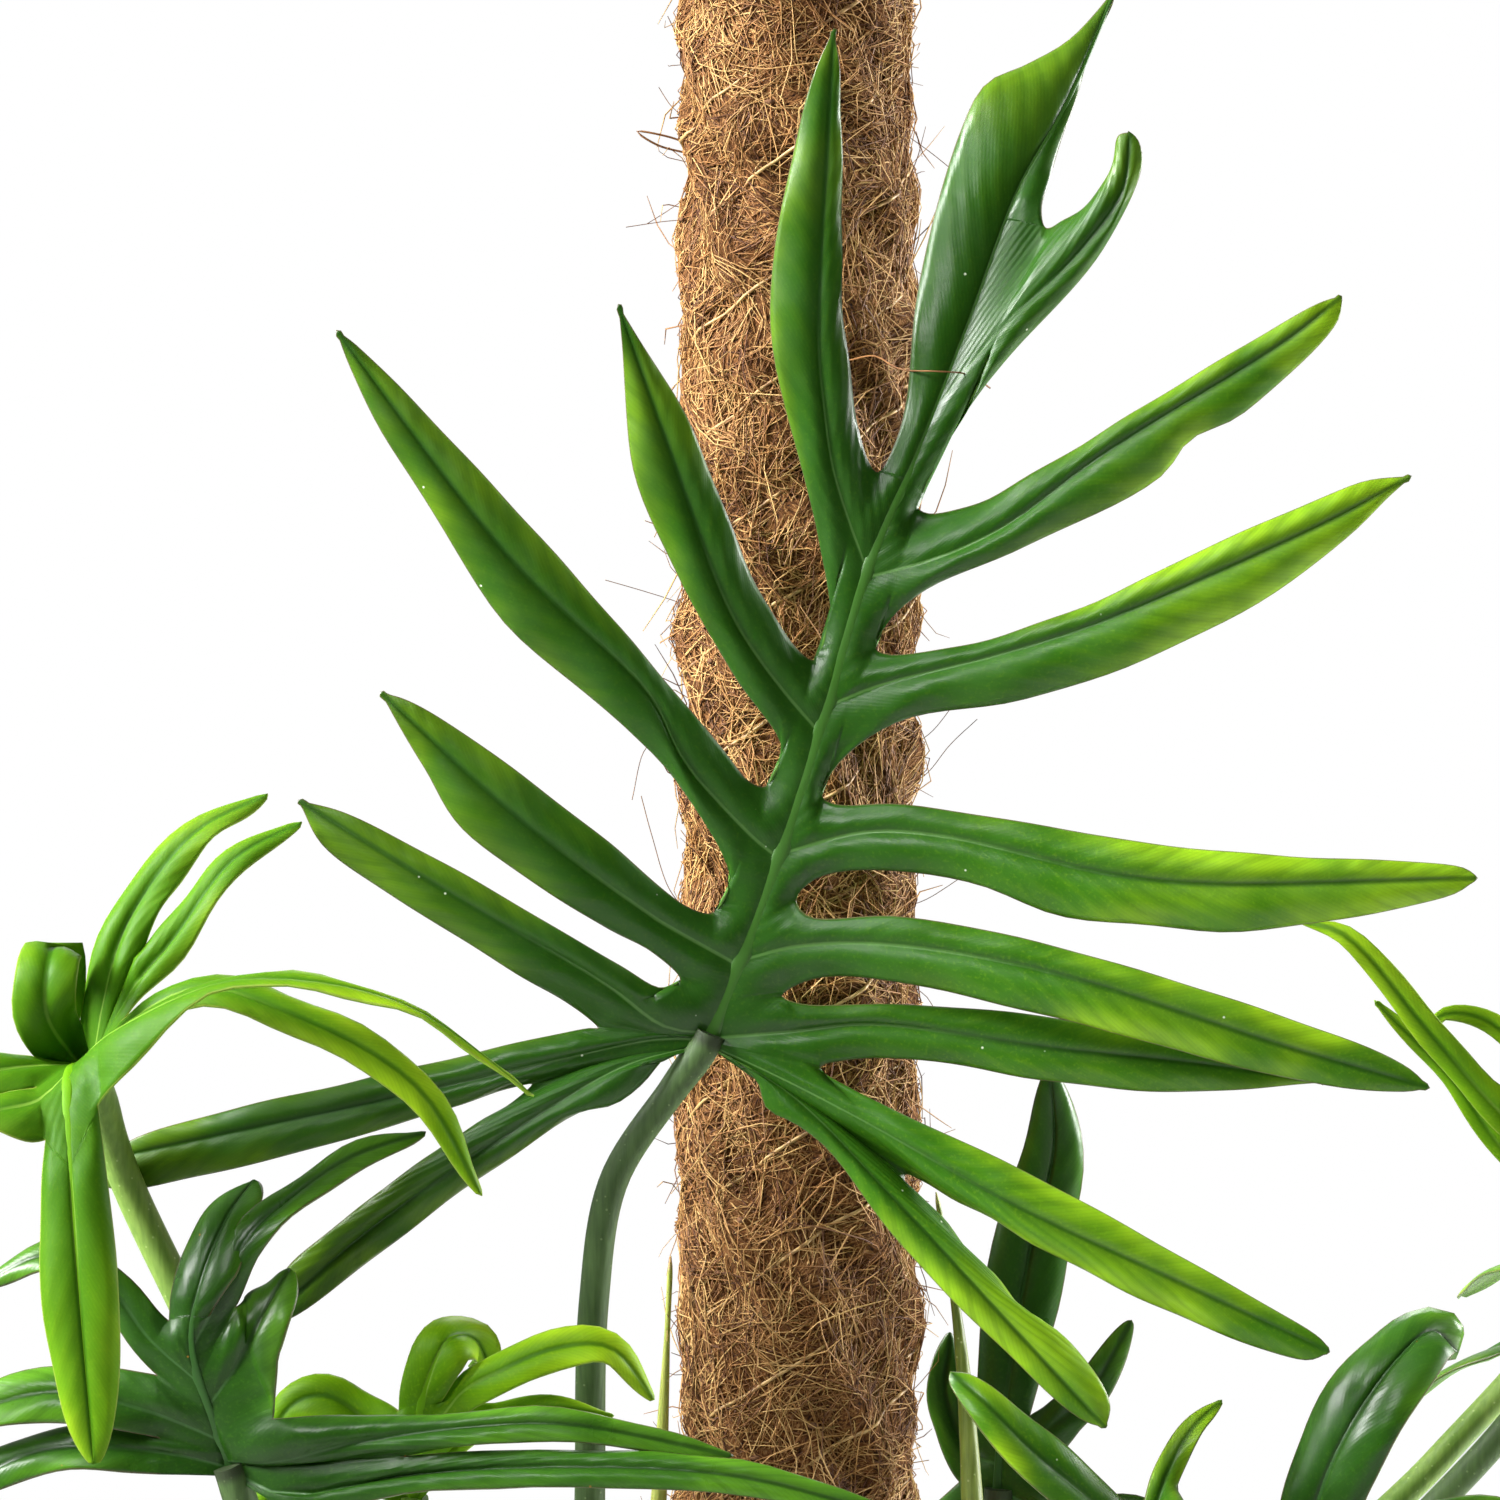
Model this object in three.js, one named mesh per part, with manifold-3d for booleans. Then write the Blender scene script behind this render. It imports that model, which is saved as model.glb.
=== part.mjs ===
// Potted trixi philodendron trained up a coir pole.
// Millimetres, +Z up, the front is -Y. The origin is the centre of the pot's underside.
import * as THREE from 'three';
import { mergeVertices } from 'three/addons/utils/BufferGeometryUtils.js';
import Module from 'manifold-3d';

const wasm = await Module();
wasm.setup();

// Driving dimensions
const GAP = 0.3;                 // clearance between neighbouring pieces
const HEIGHT = 985;              // pot underside to pole top

const POT = {
  top: 120, foot: 88, height: 200, wall: 2.6, floor: 3,
  rim: 4.5, rimHeight: 13, footBevel: 2, rimBevel: 1.5, lipBevel: 1, sides: 32,
};
const DRAIN = { radius: 5, ring: 60, count: 6, sides: 12, turn: 0.3 };
const SOIL = { height: 182, mound: 6, bump: 1.6, clod: 55, rings: [0.95, 0.72, 0.5, 0.25] };
const PIPE = { outer: 20, wall: 2.5 };
const COIR = {
  radius: 30, bulge: 1, sides: 18, row: 33,
  dome: 9, domeEdge: 0.86, domeFlat: 0.5, domeDrop: 3,
};
const THREAD = { radius: 0.7, sides: 3, pitch: 109, lift: 1.7, first: 215, last: 962, stepsPerTurn: 18 };
const STEM = { radius: 7.5, taper: 2, depth: 70, node: 1, nodeEvery: 42, sides: 10 };
const STEMS = {
  left: { x: -44, y: -8, top: 405 },
  right: { x: 39, y: -24, top: 432 },
  back: { x: 8, y: 46, top: 378 },
};

const BLADE = 0.8;               // blade thickness
const SLIVER = 0.05;             // slivers left by a join are merged below this size
const STALK = { radius: 3.6, footSwell: 0.15, sides: 6, step: 28, stub: 10, seat: 3 };
const HORN = { left: 4.2, right: 4.6, tip: 0.9, sides: 7, steps: 9 };
const RIDGE = 3;                 // thickness of the big blade along its midrib
const DRAWN_SIZE = 0.7;          // size of the other leaves' midribs against the big one's
const LATTICE = 60;              // places along a rachis where webs may start
const PER_MM = 100;              // points of a sheet closer than one part in this are the same

const LOBE = {
  neck: [0.2, 0.2],              // where the margins leave the web, as shares of the rib
  leastNeck: 0.12,
  mostNeck: 0.45,
  pull: 0.3,                     // share of a margin that bends in to the sinus
  wave: 0.9,                     // height of the ripple along a margin
  ripple: 9,                     // its turn from neck to tip, in radians
  cup: 0.12,                     // how far the margins lie behind the rib, against the half-width
};
const END = { start: 0.15, cup: 0.1, billow: 8, level: 0.6 };

// Outlines are given as seen from the front, from this far away and level with this x and z.
const VIEW = { x: -12, z: 747.5, distance: 2200 };

const FINISH = {
  pot: { color: '#2b2e2f', roughness: 0.55 },
  soil: { color: '#33261c', roughness: 1 },
  pipe: { color: '#8c8f8c', roughness: 0.5 },
  coir: { color: '#8a6339', roughness: 1 },
  thread: { color: '#b9975c', roughness: 0.8 },
  stem: { color: '#4f7036', roughness: 0.6 },
  stalk: { color: '#44603f', roughness: 0.55 },
  youngStalk: { color: '#7ea243', roughness: 0.55 },
  sheath: { color: '#9aa84e', roughness: 0.5 },
  blade: { color: '#1f6a17', roughness: 0.4 },
  darkBlade: { color: '#1b4a24', roughness: 0.4 },
  youngBlade: { color: '#6fa414', roughness: 0.4 },
};

// Vectors and curves

const vec = (x, y, z) => new THREE.Vector3(x, y, z);
const mix = (a, b, t) => a.clone().lerp(b, t);
const clamp01 = (value) => Math.min(1, Math.max(0, value));

/** A point at the given depth (y) that lines up with (x, z) of the front view. */
function front([x, z, depth]) {
  const scale = (VIEW.distance + depth) / VIEW.distance;
  return vec(VIEW.x + (x - VIEW.x) * scale, depth, VIEW.z + (z - VIEW.z) * scale);
}

function curveThrough(points) {
  return new THREE.CatmullRomCurve3(points, false, 'centripetal');
}

/** Seeded random numbers in [-1, 1]. */
function randomSource(seed) {
  let state = seed;
  return () => {
    state = (state * 1664525 + 1013904223) % 4294967296;
    return (state / 4294967296) * 2 - 1;
  };
}

/** The length fraction of the curve at which it passes closest to the point. */
function nearestFraction(curve, point, samples = 200) {
  let best = 0;
  let least = Infinity;
  for (let i = 0; i <= samples; i += 1) {
    const distance = curve.getPointAt(i / samples).distanceTo(point);
    if (distance < least) {
      least = distance;
      best = i / samples;
    }
  }
  return best;
}

// Closed bodies

function bodyOf(geometry) {
  const bare = geometry.index ? geometry.clone() : mergeVertices(geometry.clone());
  bare.deleteAttribute('normal');
  bare.deleteAttribute('uv');
  const merged = mergeVertices(bare, 1e-4);
  return new wasm.Manifold(new wasm.Mesh({
    numProp: 3,
    vertProperties: new Float32Array(merged.attributes.position.array),
    triVerts: new Uint32Array(merged.index.array),
  }));
}

function geometryOf(body) {
  const { vertProperties, triVerts } = body.getMesh();
  const geometry = new THREE.BufferGeometry();
  geometry.setAttribute('position', new THREE.BufferAttribute(vertProperties, 3));
  geometry.setIndex(new THREE.BufferAttribute(triVerts, 1));
  geometry.computeVertexNormals();
  return geometry;
}

/** The outer shell of a fused body: pockets that the join has sealed are filled, scraps dropped. */
function shellOf(body) {
  const shell = body.decompose().reduce((best, piece) => (piece.volume() > best.volume() ? piece : best));
  return shell.simplify(SLIVER);
}

function indexedGeometry(points, faces) {
  const geometry = new THREE.BufferGeometry();
  geometry.setFromPoints(points);
  geometry.setIndex(faces.flat());
  geometry.computeVertexNormals();
  return geometry;
}

/** A closed tube along a curve between two length fractions, its radius a function of the fraction. */
function tube(curve, radiusAt, sides, steps, from = 0, to = 1) {
  const points = [];
  const faces = [];
  let across = null;
  for (let i = 0; i <= steps; i += 1) {
    const along = i / steps;
    const fraction = from + (to - from) * along;
    const centre = curve.getPointAt(fraction);
    const tangent = curve.getTangentAt(fraction).normalize();
    if (!across) {
      const helper = Math.abs(tangent.z) < 0.9 ? vec(0, 0, 1) : vec(0, 1, 0);
      across = helper.cross(tangent).normalize();
    }
    across.addScaledVector(tangent, -across.dot(tangent)).normalize();
    const other = tangent.clone().cross(across);
    const radius = radiusAt(along);
    for (let side = 0; side < sides; side += 1) {
      const turn = (side / sides) * Math.PI * 2;
      points.push(centre.clone()
        .addScaledVector(across, Math.cos(turn) * radius)
        .addScaledVector(other, Math.sin(turn) * radius));
    }
  }
  for (let i = 0; i < steps; i += 1) {
    for (let side = 0; side < sides; side += 1) {
      const a = i * sides + side;
      const b = i * sides + ((side + 1) % sides);
      faces.push([a, b, b + sides], [a, b + sides, a + sides]);
    }
  }
  const last = steps * sides;
  for (let side = 1; side < sides - 1; side += 1) {
    faces.push([0, side + 1, side], [last, last + side, last + side + 1]);
  }
  return indexedGeometry(points, faces);
}

/** A thin surface that is built up from grids and then given its thickness. */
class Sheet {
  constructor() {
    this.points = [];
    this.thickness = [];
    this.known = new Map();
    this.faces = [];
    this.mirrored = false;
  }

  vertex(point, thickness = BLADE) {
    const key = point.toArray().map((value) => Math.round(value * PER_MM)).join(' ');
    if (!this.known.has(key)) {
      this.known.set(key, this.points.length);
      this.points.push(point.clone());
      this.thickness.push(thickness);
    }
    return this.known.get(key);
  }

  face(a, b, c) {
    if (a === b || b === c || c === a) return;
    this.faces.push(this.mirrored ? [a, c, b] : [a, b, c]);
  }

  grid(rows) {
    const ids = rows.map((row) => row.map((point) => this.vertex(point)));
    for (let r = 0; r < ids.length - 1; r += 1) {
      for (let c = 0; c < ids[r].length - 1; c += 1) {
        this.face(ids[r][c], ids[r + 1][c], ids[r + 1][c + 1]);
        this.face(ids[r][c], ids[r + 1][c + 1], ids[r][c + 1]);
      }
    }
  }

  /** Joins a run of points on the rachis to two points further out. */
  hem(inner, first, second) {
    for (let i = 0; i < inner.length - 1; i += 1) this.face(inner[i], first, inner[i + 1]);
    this.face(inner[inner.length - 1], first, second);
  }

  normals() {
    const normals = this.points.map(() => vec(0, 0, 0));
    for (const [a, b, c] of this.faces) {
      const ab = this.points[b].clone().sub(this.points[a]);
      const ac = this.points[c].clone().sub(this.points[a]);
      const normal = ab.cross(ac);
      for (const corner of [a, b, c]) normals[corner].add(normal);
    }
    return normals.map((normal) => normal.normalize());
  }

  /** The closed body of the sheet: both faces share one triangulation, and a rim joins them. */
  thicken() {
    const normals = this.normals();
    const count = this.points.length;
    const shifted = (sign) => this.points.map((p, i) => (
      p.clone().addScaledVector(normals[i], (sign * this.thickness[i]) / 2)
    ));
    const edges = new Set(this.faces.flatMap(([a, b, c]) => [`${a} ${b}`, `${b} ${c}`, `${c} ${a}`]));
    const faces = [];
    for (const [a, b, c] of this.faces) {
      faces.push([a, b, c], [a + count, c + count, b + count]);
      for (const [from, to] of [[a, b], [b, c], [c, a]]) {
        if (!edges.has(`${to} ${from}`)) {
          faces.push([to, from, from + count], [to, from + count, to + count]);
        }
      }
    }
    return indexedGeometry([...shifted(1), ...shifted(-1)], faces);
  }
}

// Leaves

/** Half-width of a lobe at a length fraction, as a share of its greatest half-width. */
function lobeProfile(fraction) {
  const taper = Math.pow(1 - clamp01(fraction), 0.6);
  return (taper * (0.6 + 1.3 * fraction)) / 0.83;
}

/** The direction across a lobe, in the blade, square to its rib. */
function acrossRib(curve, fraction, facing) {
  return curve.getTangentAt(clamp01(fraction)).cross(facing).normalize();
}

/**
 * A lobe that follows a rib in space. side is 1 on the leaf's right and -1 on its left,
 * width the greatest half-width, necks the fractions where the two margins leave the web.
 */
function ribbonLobe(rachis, side, { attach, width, necks = LOBE.neck, rib, facing, phase }) {
  const curve = curveThrough([rachis.getPointAt(attach), ...rib]);
  const margin = (sign, neck) => (u) => {
    const fraction = neck + (1 - neck) * u;
    const ripple = LOBE.wave * Math.sin(phase + sign + u * LOBE.ripple) * Math.sin(Math.PI * u);
    return curve.getPointAt(fraction)
      .addScaledVector(acrossRib(curve, fraction, facing), sign * side * -width * lobeProfile(fraction))
      .addScaledVector(facing, ripple - LOBE.cup * width);
  };
  return {
    attach,
    neck: (necks[0] + necks[1]) / 2,
    curve,
    minus: margin(-1, necks[0]),
    plus: margin(1, necks[1]),
  };
}

/**
 * A lobe whose margins are given as outlines: rib, plus and minus are lists of front points.
 * Its rib bows forward by rise in the middle, and its tip lies in front of its foot by lift.
 */
function outlinedLobe(rachis, leaf, { rib, plus, minus, rise, lift }) {
  const place = ([x, z], depth) => front([leaf.x + x, leaf.z + z, depth]);
  const start = rachis.getPointAt(0).y;
  const first = place(rib[0], start);
  const attach = nearestFraction(rachis, first);
  const base = rachis.getPointAt(attach).y;
  const depthAt = (s) => base - rise * Math.sin(Math.PI * clamp01(s)) - lift * s * s;
  const flat = (points) => curveThrough(points.map(([x, z]) => vec(x, z, 0)));
  const ribFlat = flat(rib);
  const neck = neckFraction(ribFlat, minus[0], plus[0]);
  const tip = rib[rib.length - 1];
  const margin = (points) => {
    const outline = flat([...points, tip]);
    return (u) => {
      const p = outline.getPointAt(u);
      const s = neck + (1 - neck) * u;
      const away = p.distanceTo(ribFlat.getPointAt(s));
      return place([p.x, p.y], depthAt(s) + leaf.fold * away);
    };
  };
  const curve = {
    getPointAt: (s) => {
      const p = ribFlat.getPointAt(s);
      return s === 0 ? rachis.getPointAt(attach) : place([p.x, p.y], depthAt(s));
    },
  };
  return { attach, neck, curve, minus: margin(minus), plus: margin(plus) };
}

/** The fraction of a rib, in the front view, at which it crosses the line between two sinuses. */
function neckFraction(rib, minus, plus) {
  const across = [plus[0] - minus[0], plus[1] - minus[1]];
  const side = (p) => across[0] * (p.y - minus[1]) - across[1] * (p.x - minus[0]);
  const start = Math.sign(side(rib.getPointAt(0)));
  const steps = 100;
  for (let i = 1; i < steps; i += 1) {
    if (Math.sign(side(rib.getPointAt(i / steps))) !== start) return Math.min(i / steps, LOBE.mostNeck);
  }
  return LOBE.leastNeck;
}

/** Length fractions along a rachis fall on one lattice, so that both sides share its points. */
const onLattice = (fraction) => Math.round(fraction * LATTICE) / LATTICE;

/** The places along the rachis where one side's web starts, and its end lobe's rows. */
function sideStations(lobes, terminal, detail) {
  const feet = [0];
  for (let i = 1; i < lobes.length; i += 1) {
    feet.push(onLattice((lobes[i - 1].attach + lobes[i].attach) / 2));
  }
  const from = onLattice(terminal.from);
  feet.push(from);
  const { endRows } = detail;
  const end = Array.from({ length: endRows + 1 }, (_, k) => onLattice(from + ((1 - from) * k) / endRows));
  return { feet, end, attach: lobes.map((lobe) => onLattice(lobe.attach)) };
}

/** A blade: for each side the web along the rachis, its lobes and its half of the end lobe. */
function bladeSheet(rachis, sides, detail, ridge) {
  const sheet = new Sheet();
  const stations = sides.map(({ lobes, terminal }) => sideStations(lobes, terminal, detail));
  const all = [...new Set(stations.flatMap(({ feet, end, attach }) => [...feet, ...end, ...attach]))];
  all.sort((a, b) => a - b);
  const spine = (fraction) => sheet.vertex(rachis.getPointAt(fraction), ridge + (BLADE - ridge) * fraction);
  const between = (from, to) => all.filter((fraction) => fraction >= from && fraction <= to).map(spine);

  sides.forEach(({ lobes, terminal }, index) => {
    const { feet, end, attach } = stations[index];
    sheet.mirrored = index === 1;
    const sinuses = lobes.map((lobe, i) => (
      i ? mix(lobes[i - 1].plus(0), lobe.minus(0), 0.5) : lobe.minus(0)
    ));
    sinuses.push(mix(lobes[lobes.length - 1].plus(0), terminal.margin(0), 0.5));
    const pulled = (margin, sinus) => (u) => {
      const shift = sinus.clone().sub(margin(0));
      return margin(u).addScaledVector(shift, clamp01(1 - u / LOBE.pull));
    };

    const addRows = (rows, marks) => {
      const [, first] = rows;
      for (let c = 0; c < marks.length - 1; c += 1) {
        sheet.hem(between(marks[c], marks[c + 1]), sheet.vertex(first[c]), sheet.vertex(first[c + 1]));
      }
      sheet.grid(rows.slice(1));
    };

    lobes.forEach((lobe, i) => {
      const minus = pulled(lobe.minus, sinuses[i]);
      const plus = pulled(lobe.plus, sinuses[i + 1]);
      const marks = [feet[i], attach[i], feet[i + 1]];
      const rows = [[]];
      for (let w = 1; w < detail.web; w += 1) {
        const out = w / detail.web;
        rows.push([
          mix(rachis.getPointAt(marks[0]), sinuses[i], out),
          lobe.curve.getPointAt(lobe.neck * out),
          mix(rachis.getPointAt(marks[2]), sinuses[i + 1], out),
        ]);
      }
      for (let k = 0; k <= detail.rows; k += 1) {
        const u = k / detail.rows;
        const rib = lobe.curve.getPointAt(lobe.neck + (1 - lobe.neck) * u);
        rows.push(k === detail.rows ? [rib, rib, rib] : [minus(u), rib, plus(u)]);
      }
      addRows(rows, marks);
    });

    const outline = pulled(terminal.margin, sinuses[lobes.length]);
    const tip = rachis.getPointAt(1);
    const rows = Array.from({ length: detail.web + 1 }, () => []);
    end.forEach((fraction, k) => {
      const outer = k === detail.endRows ? tip : outline(k / detail.endRows);
      rows.forEach((row, w) => row.push(mix(rachis.getPointAt(fraction), outer, w / detail.web)));
    });
    addRows(rows, end);
  });
  return sheet;
}

/** The half-margin of an end lobe that follows the rachis. */
function ribbonEnd(rachis, side, { from, width, facing }) {
  const margin = (u) => {
    const fraction = from + (1 - from) * u;
    const half = width * lobeProfile(END.start + (1 - END.start) * u);
    return rachis.getPointAt(fraction)
      .addScaledVector(acrossRib(rachis, fraction, facing), side * half)
      .addScaledVector(facing, -END.cup * width);
  };
  return { from, margin };
}

/** The half-margin of an end lobe given as an outline. */
function outlinedEnd(rachis, leaf, outline, tip) {
  const flat = curveThrough([...outline, tip].map(([x, z]) => vec(x, z, 0)));
  const [x, z] = outline[0];
  const from = nearestFraction(rachis, front([leaf.x + x, leaf.z + z, rachis.getPointAt(END.level).y]));
  const margin = (u) => {
    const p = flat.getPointAt(u);
    const spine = rachis.getPointAt(from + (1 - from) * u);
    return front([leaf.x + p.x, leaf.z + p.y, spine.y + leaf.fold * END.billow * Math.sin(Math.PI * u)]);
  };
  return { from, margin };
}

/** A whole blade with the stub that the stalk meets. */
function bladeBody(sheet, stalk) {
  const stubFrom = 1 - STALK.stub / stalk.curve.getLength();
  const stub = tube(stalk.curve, () => stalk.radius, STALK.sides, 1, stubFrom);
  return shellOf(bodyOf(sheet.thicken()).add(bodyOf(stub)));
}

/** The stalk up to the stub, its foot cut to the stem's side. */
function stalkBody(stalk, stemClearance) {
  const length = stalk.curve.getLength();
  const to = 1 - (STALK.stub + GAP) / length;
  const steps = Math.round(length / STALK.step);
  const radiusAt = (s) => stalk.radius * (1 + STALK.footSwell - STALK.footSwell * s);
  return bodyOf(tube(stalk.curve, radiusAt, STALK.sides, steps, 0, to)).subtract(stemClearance);
}

// The big leaf at the front, its outline in millimetres from where the stalk meets the blade.
const BIG = { x: -23, z: 674, fold: 0.14, foot: 350 };

const BIG_RACHIS = [
  [0, 0, -58], [10, 24, -62], [21, 54, -66], [31, 86, -69], [39, 114, -71], [46, 133, -71],
  [52.5, 147, -70], [65.5, 180, -67], [78, 213.5, -62], [88.5, 232.5, -58], [102.5, 264, -48],
];

const BIG_STALK = [
  [-30, -246, -34], [-29, -170, -40], [-29, -109, -44], [-28, -64, -49], [-23, -34, -52],
    [-8, -11, -55], [0, 0, -58],
];

const BIG_END = {
  left: [[43, 143], [47.5, 151], [50, 161], [53, 189], [63.5, 228], [70, 240], [80, 245], [91, 251]],
  right: [[85, 204], [84, 209], [86, 216], [91, 233], [98, 252.5]],
};

const BIG_LOBES = {
  right: [
    {
      rise: 6, lift: 5,
      rib: [[0, -1], [21, -12.5], [46, -37.5], [76, -70], [100, -96]],
      plus: [[50, -32.5], [50, -35.5], [57.5, -42.5], [81, -67.5], [92.5, -76], [101, -90]],
      minus: [[4, -2], [12.5, -9], [15, -16], [22.5, -20], [30, -26], [49, -50.5], [76, -78], [94, -94]],
    },
    {
      rise: 8, lift: 9,
      rib: [[1, 0], [14, -6], [39, -19], [77.5, -40.5], [116, -58.5], [156, -77]],
      plus: [[28.5, -6], [36, -11], [81, -32.5], [129, -59], [154, -74]],
      minus: [[50, -32.5], [54, -34], [84, -51], [116, -67], [150, -79]],
    },
    {
      rise: 3, lift: 1,
      rib: [[2, 1], [21, 3], [41, 5], [86, -1], [124, -5], [155, -9.5]],
      plus: [[19, 12], [24, 10], [47.5, 10], [87.5, 6.5], [136, -4]],
      minus: [[28.5, -6], [36, -4], [54, -4], [84, -9], [116, -12], [144, -10.5]],
    },
    {
      rise: 12, lift: 8,
      rib: [[11, 21], [24, 24.5], [44, 25], [84, 18.5], [146, -1], [181, -11]],
      plus: [[22.5, 36], [25.5, 32], [47.5, 32], [81, 26], [144, 7], [175, -5.5]],
      minus: [[19, 12], [26, 16], [41, 16.5], [87.5, 6.5], [147.5, -9], [174, -12]],
    },
    {
      rise: 10, lift: 11,
      rib: [[19, 48], [40, 53], [59, 52], [101, 42.5], [126, 40], [176, 41], [193, 41.5]],
      plus: [[29, 62], [32.5, 60], [48, 60], [82, 55], [112, 50], [145, 47], [189.5, 44]],
      minus: [[22.5, 36], [27, 41], [39, 43.5], [67.5, 40], [88, 32], [108, 30], [129, 28], [154, 30.5],
        [187, 37.5]],
    },
    {
      rise: 8, lift: 7,
      rib: [[33, 85], [45, 90], [72, 97], [97, 105], [130, 119], [157, 131.5], [176.5, 142]],
      plus: [[42.5, 99], [45, 97.5], [66, 100], [96, 110], [125, 124], [155, 137], [166, 141]],
      minus: [[29, 62], [33, 70], [48, 80.5], [79, 86], [107, 95], [142.5, 113], [160.5, 127], [171, 137]],
    },
    {
      rise: 6, lift: 5,
      rib: [[41, 116], [57, 121], [74, 129], [99, 147.5], [145, 176], [159, 187]],
      plus: [[53, 134], [56, 132.5], [68.5, 135.5], [92.5, 149], [118.5, 165], [154, 185.5]],
      minus: [[42.5, 99], [46, 106], [55, 113.5], [79, 124], [114, 142], [121, 151], [134, 157.5],
        [158, 181]],
    },
    {
      rise: 3, lift: 4,
      rib: [[56, 158], [75, 180], [93, 198], [104, 213.5], [106, 228]],
      plus: [[85, 204], [89.5, 205.5], [96, 211], [101, 217.5], [103, 227]],
      minus: [[53, 134], [53, 137], [57.5, 147.5], [76, 172], [99.5, 199], [109, 219.5], [108, 226]],
    },
  ],
  left: [
    {
      rise: 6, lift: -16,
      rib: [[0, 0], [-19, -5], [-39.5, -16], [-85, -47], [-113, -72]],
      plus: [[-43.5, -10], [-49, -15], [-66, -25.5], [-97, -49], [-106, -57.5]],
      minus: [[-2.5, -1], [-9, -2.5], [-16, -10], [-23, -15], [-31, -17], [-63.5, -38.5], [-103, -68]],
    },
    {
      rise: 4, lift: -16,
      rib: [[0, 1], [-13.5, 1], [-37, -4], [-85, -15], [-155, -30]],
      plus: [[-27, 4], [-29, 4], [-37, 2.5], [-80, -7.5], [-138.5, -22]],
      minus: [[-43.5, -10], [-49, -11], [-80, -21], [-126.5, -33], [-149, -36]],
    },
    {
      rise: 8, lift: 10,
      rib: [[1, 2], [-10, 4], [-25, 15], [-62, 36.5], [-102, 61]],
      plus: [[-6.5, 16], [-11, 14], [-22, 20], [-66, 45.5], [-91, 58]],
      minus: [[-27, 4], [-30, 7], [-47, 17.5], [-68, 30.5], [-95.5, 49.5]],
    },
    {
      rise: 8, lift: 11,
      rib: [[2, 22], [-13.5, 32], [-45.5, 55.5], [-81.5, 88]],
      plus: [[2, 33], [-4, 34], [-25, 51], [-61, 78], [-75, 86]],
      minus: [[-6.5, 16], [-13.5, 23], [-25, 29], [-61, 54], [-70.5, 69], [-78, 82]],
    },
    {
      rise: 8, lift: 13,
      rib: [[14, 48.5], [8, 54], [-6, 71.5], [-14.5, 88], [-48, 120.5], [-92.5, 178.5]],
      plus: [[15, 64.5], [11, 65.5], [4, 74], [-38.5, 123.5], [-86.5, 174]],
      minus: [[2, 33], [6, 41], [-7, 65], [-20, 79], [-51, 106], [-67, 131], [-81, 153], [-89, 169]],
    },
    {
      rise: 5, lift: 12,
      rib: [[26, 80], [17, 91], [6, 108], [-8, 145.5], [-22, 185]],
      plus: [[27, 96], [23.5, 98], [13.5, 113], [-6, 159], [-18, 178]],
      minus: [[15, 64.5], [19, 73.5], [7, 92], [-7, 117], [-18, 143], [-21, 176]],
    },
    {
      rise: 3, lift: 13,
      rib: [[40.5, 118.5], [32, 142.5], [29, 163], [28, 176], [32, 254]],
      plus: [[43, 143], [40, 147], [34, 186], [34, 204], [33.5, 241]],
      minus: [[27, 96], [31, 101], [28, 127], [16, 181], [22.5, 226], [27, 242.5]],
    },
  ],
};

// The other leaves that rise to the big leaf. Points are [x, z, depth] of the front view.
// side lobes: at = where along the rachis, w = half-width, rib = the rib from the rachis out.

const YOUNG_LEFT = {
  finish: 'youngBlade', stem: 'left', radius: 4, facing: [-0.15, -0.75, 0.6], end: { from: 0.42, width: 9.5 },
  stalk: [[-44, 325, -8], [-82, 396, -2], [-118, 520, -30], [-146, 593, -46], [-168, 640, -50],
    [-176, 664, -62]],
  rachis: [[-176, 664, -62], [-180, 669, -76], [-182.5, 665, -90], [-182, 647, -98],
    [-179.5, 610, -101], [-176, 569, -97]],
  left: [
    { at: 0.03, w: 6, necks: [0.16, 0.42],
      rib: [[-172, 688, -70], [-164.5, 703, -70], [-148, 725, -68], [-132, 736, -66]] },
    { at: 0.05, w: 5, necks: [0.42, 0.2],
      rib: [[-166, 688, -74], [-157, 699, -75], [-141, 720, -74], [-124, 729.5, -71]] },
    { at: 0.1, w: 5.5, necks: [0.12, 0.12], facing: [0.1, -0.8, 0.6],
      rib: [[-168, 679, -80], [-150, 688, -86], [-128, 682, -90], [-96, 664, -92], [-79, 636, -88]] },
    { at: 0.16, w: 4, necks: [0.1, 0.1], facing: [-0.1, -0.25, 1],
      rib: [[-170, 678, -94], [-140, 690, -102], [-100, 684.5, -106], [-66, 661, -104]] },
  ],
  right: [
    { at: 0.04, w: 7, facing: [0, -0.9, 0.3],
      rib: [[-187, 684, -84], [-188, 697, -83], [-183, 699, -70], [-180, 690, -62]] },
    { at: 0.12, w: 7, rib: [[-196, 668, -84], [-214, 664, -86], [-236, 650, -80]] },
    { at: 0.2, w: 5, rib: [[-190, 660, -92], [-206, 655, -94], [-222, 632, -90]] },
  ],
};

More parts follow.
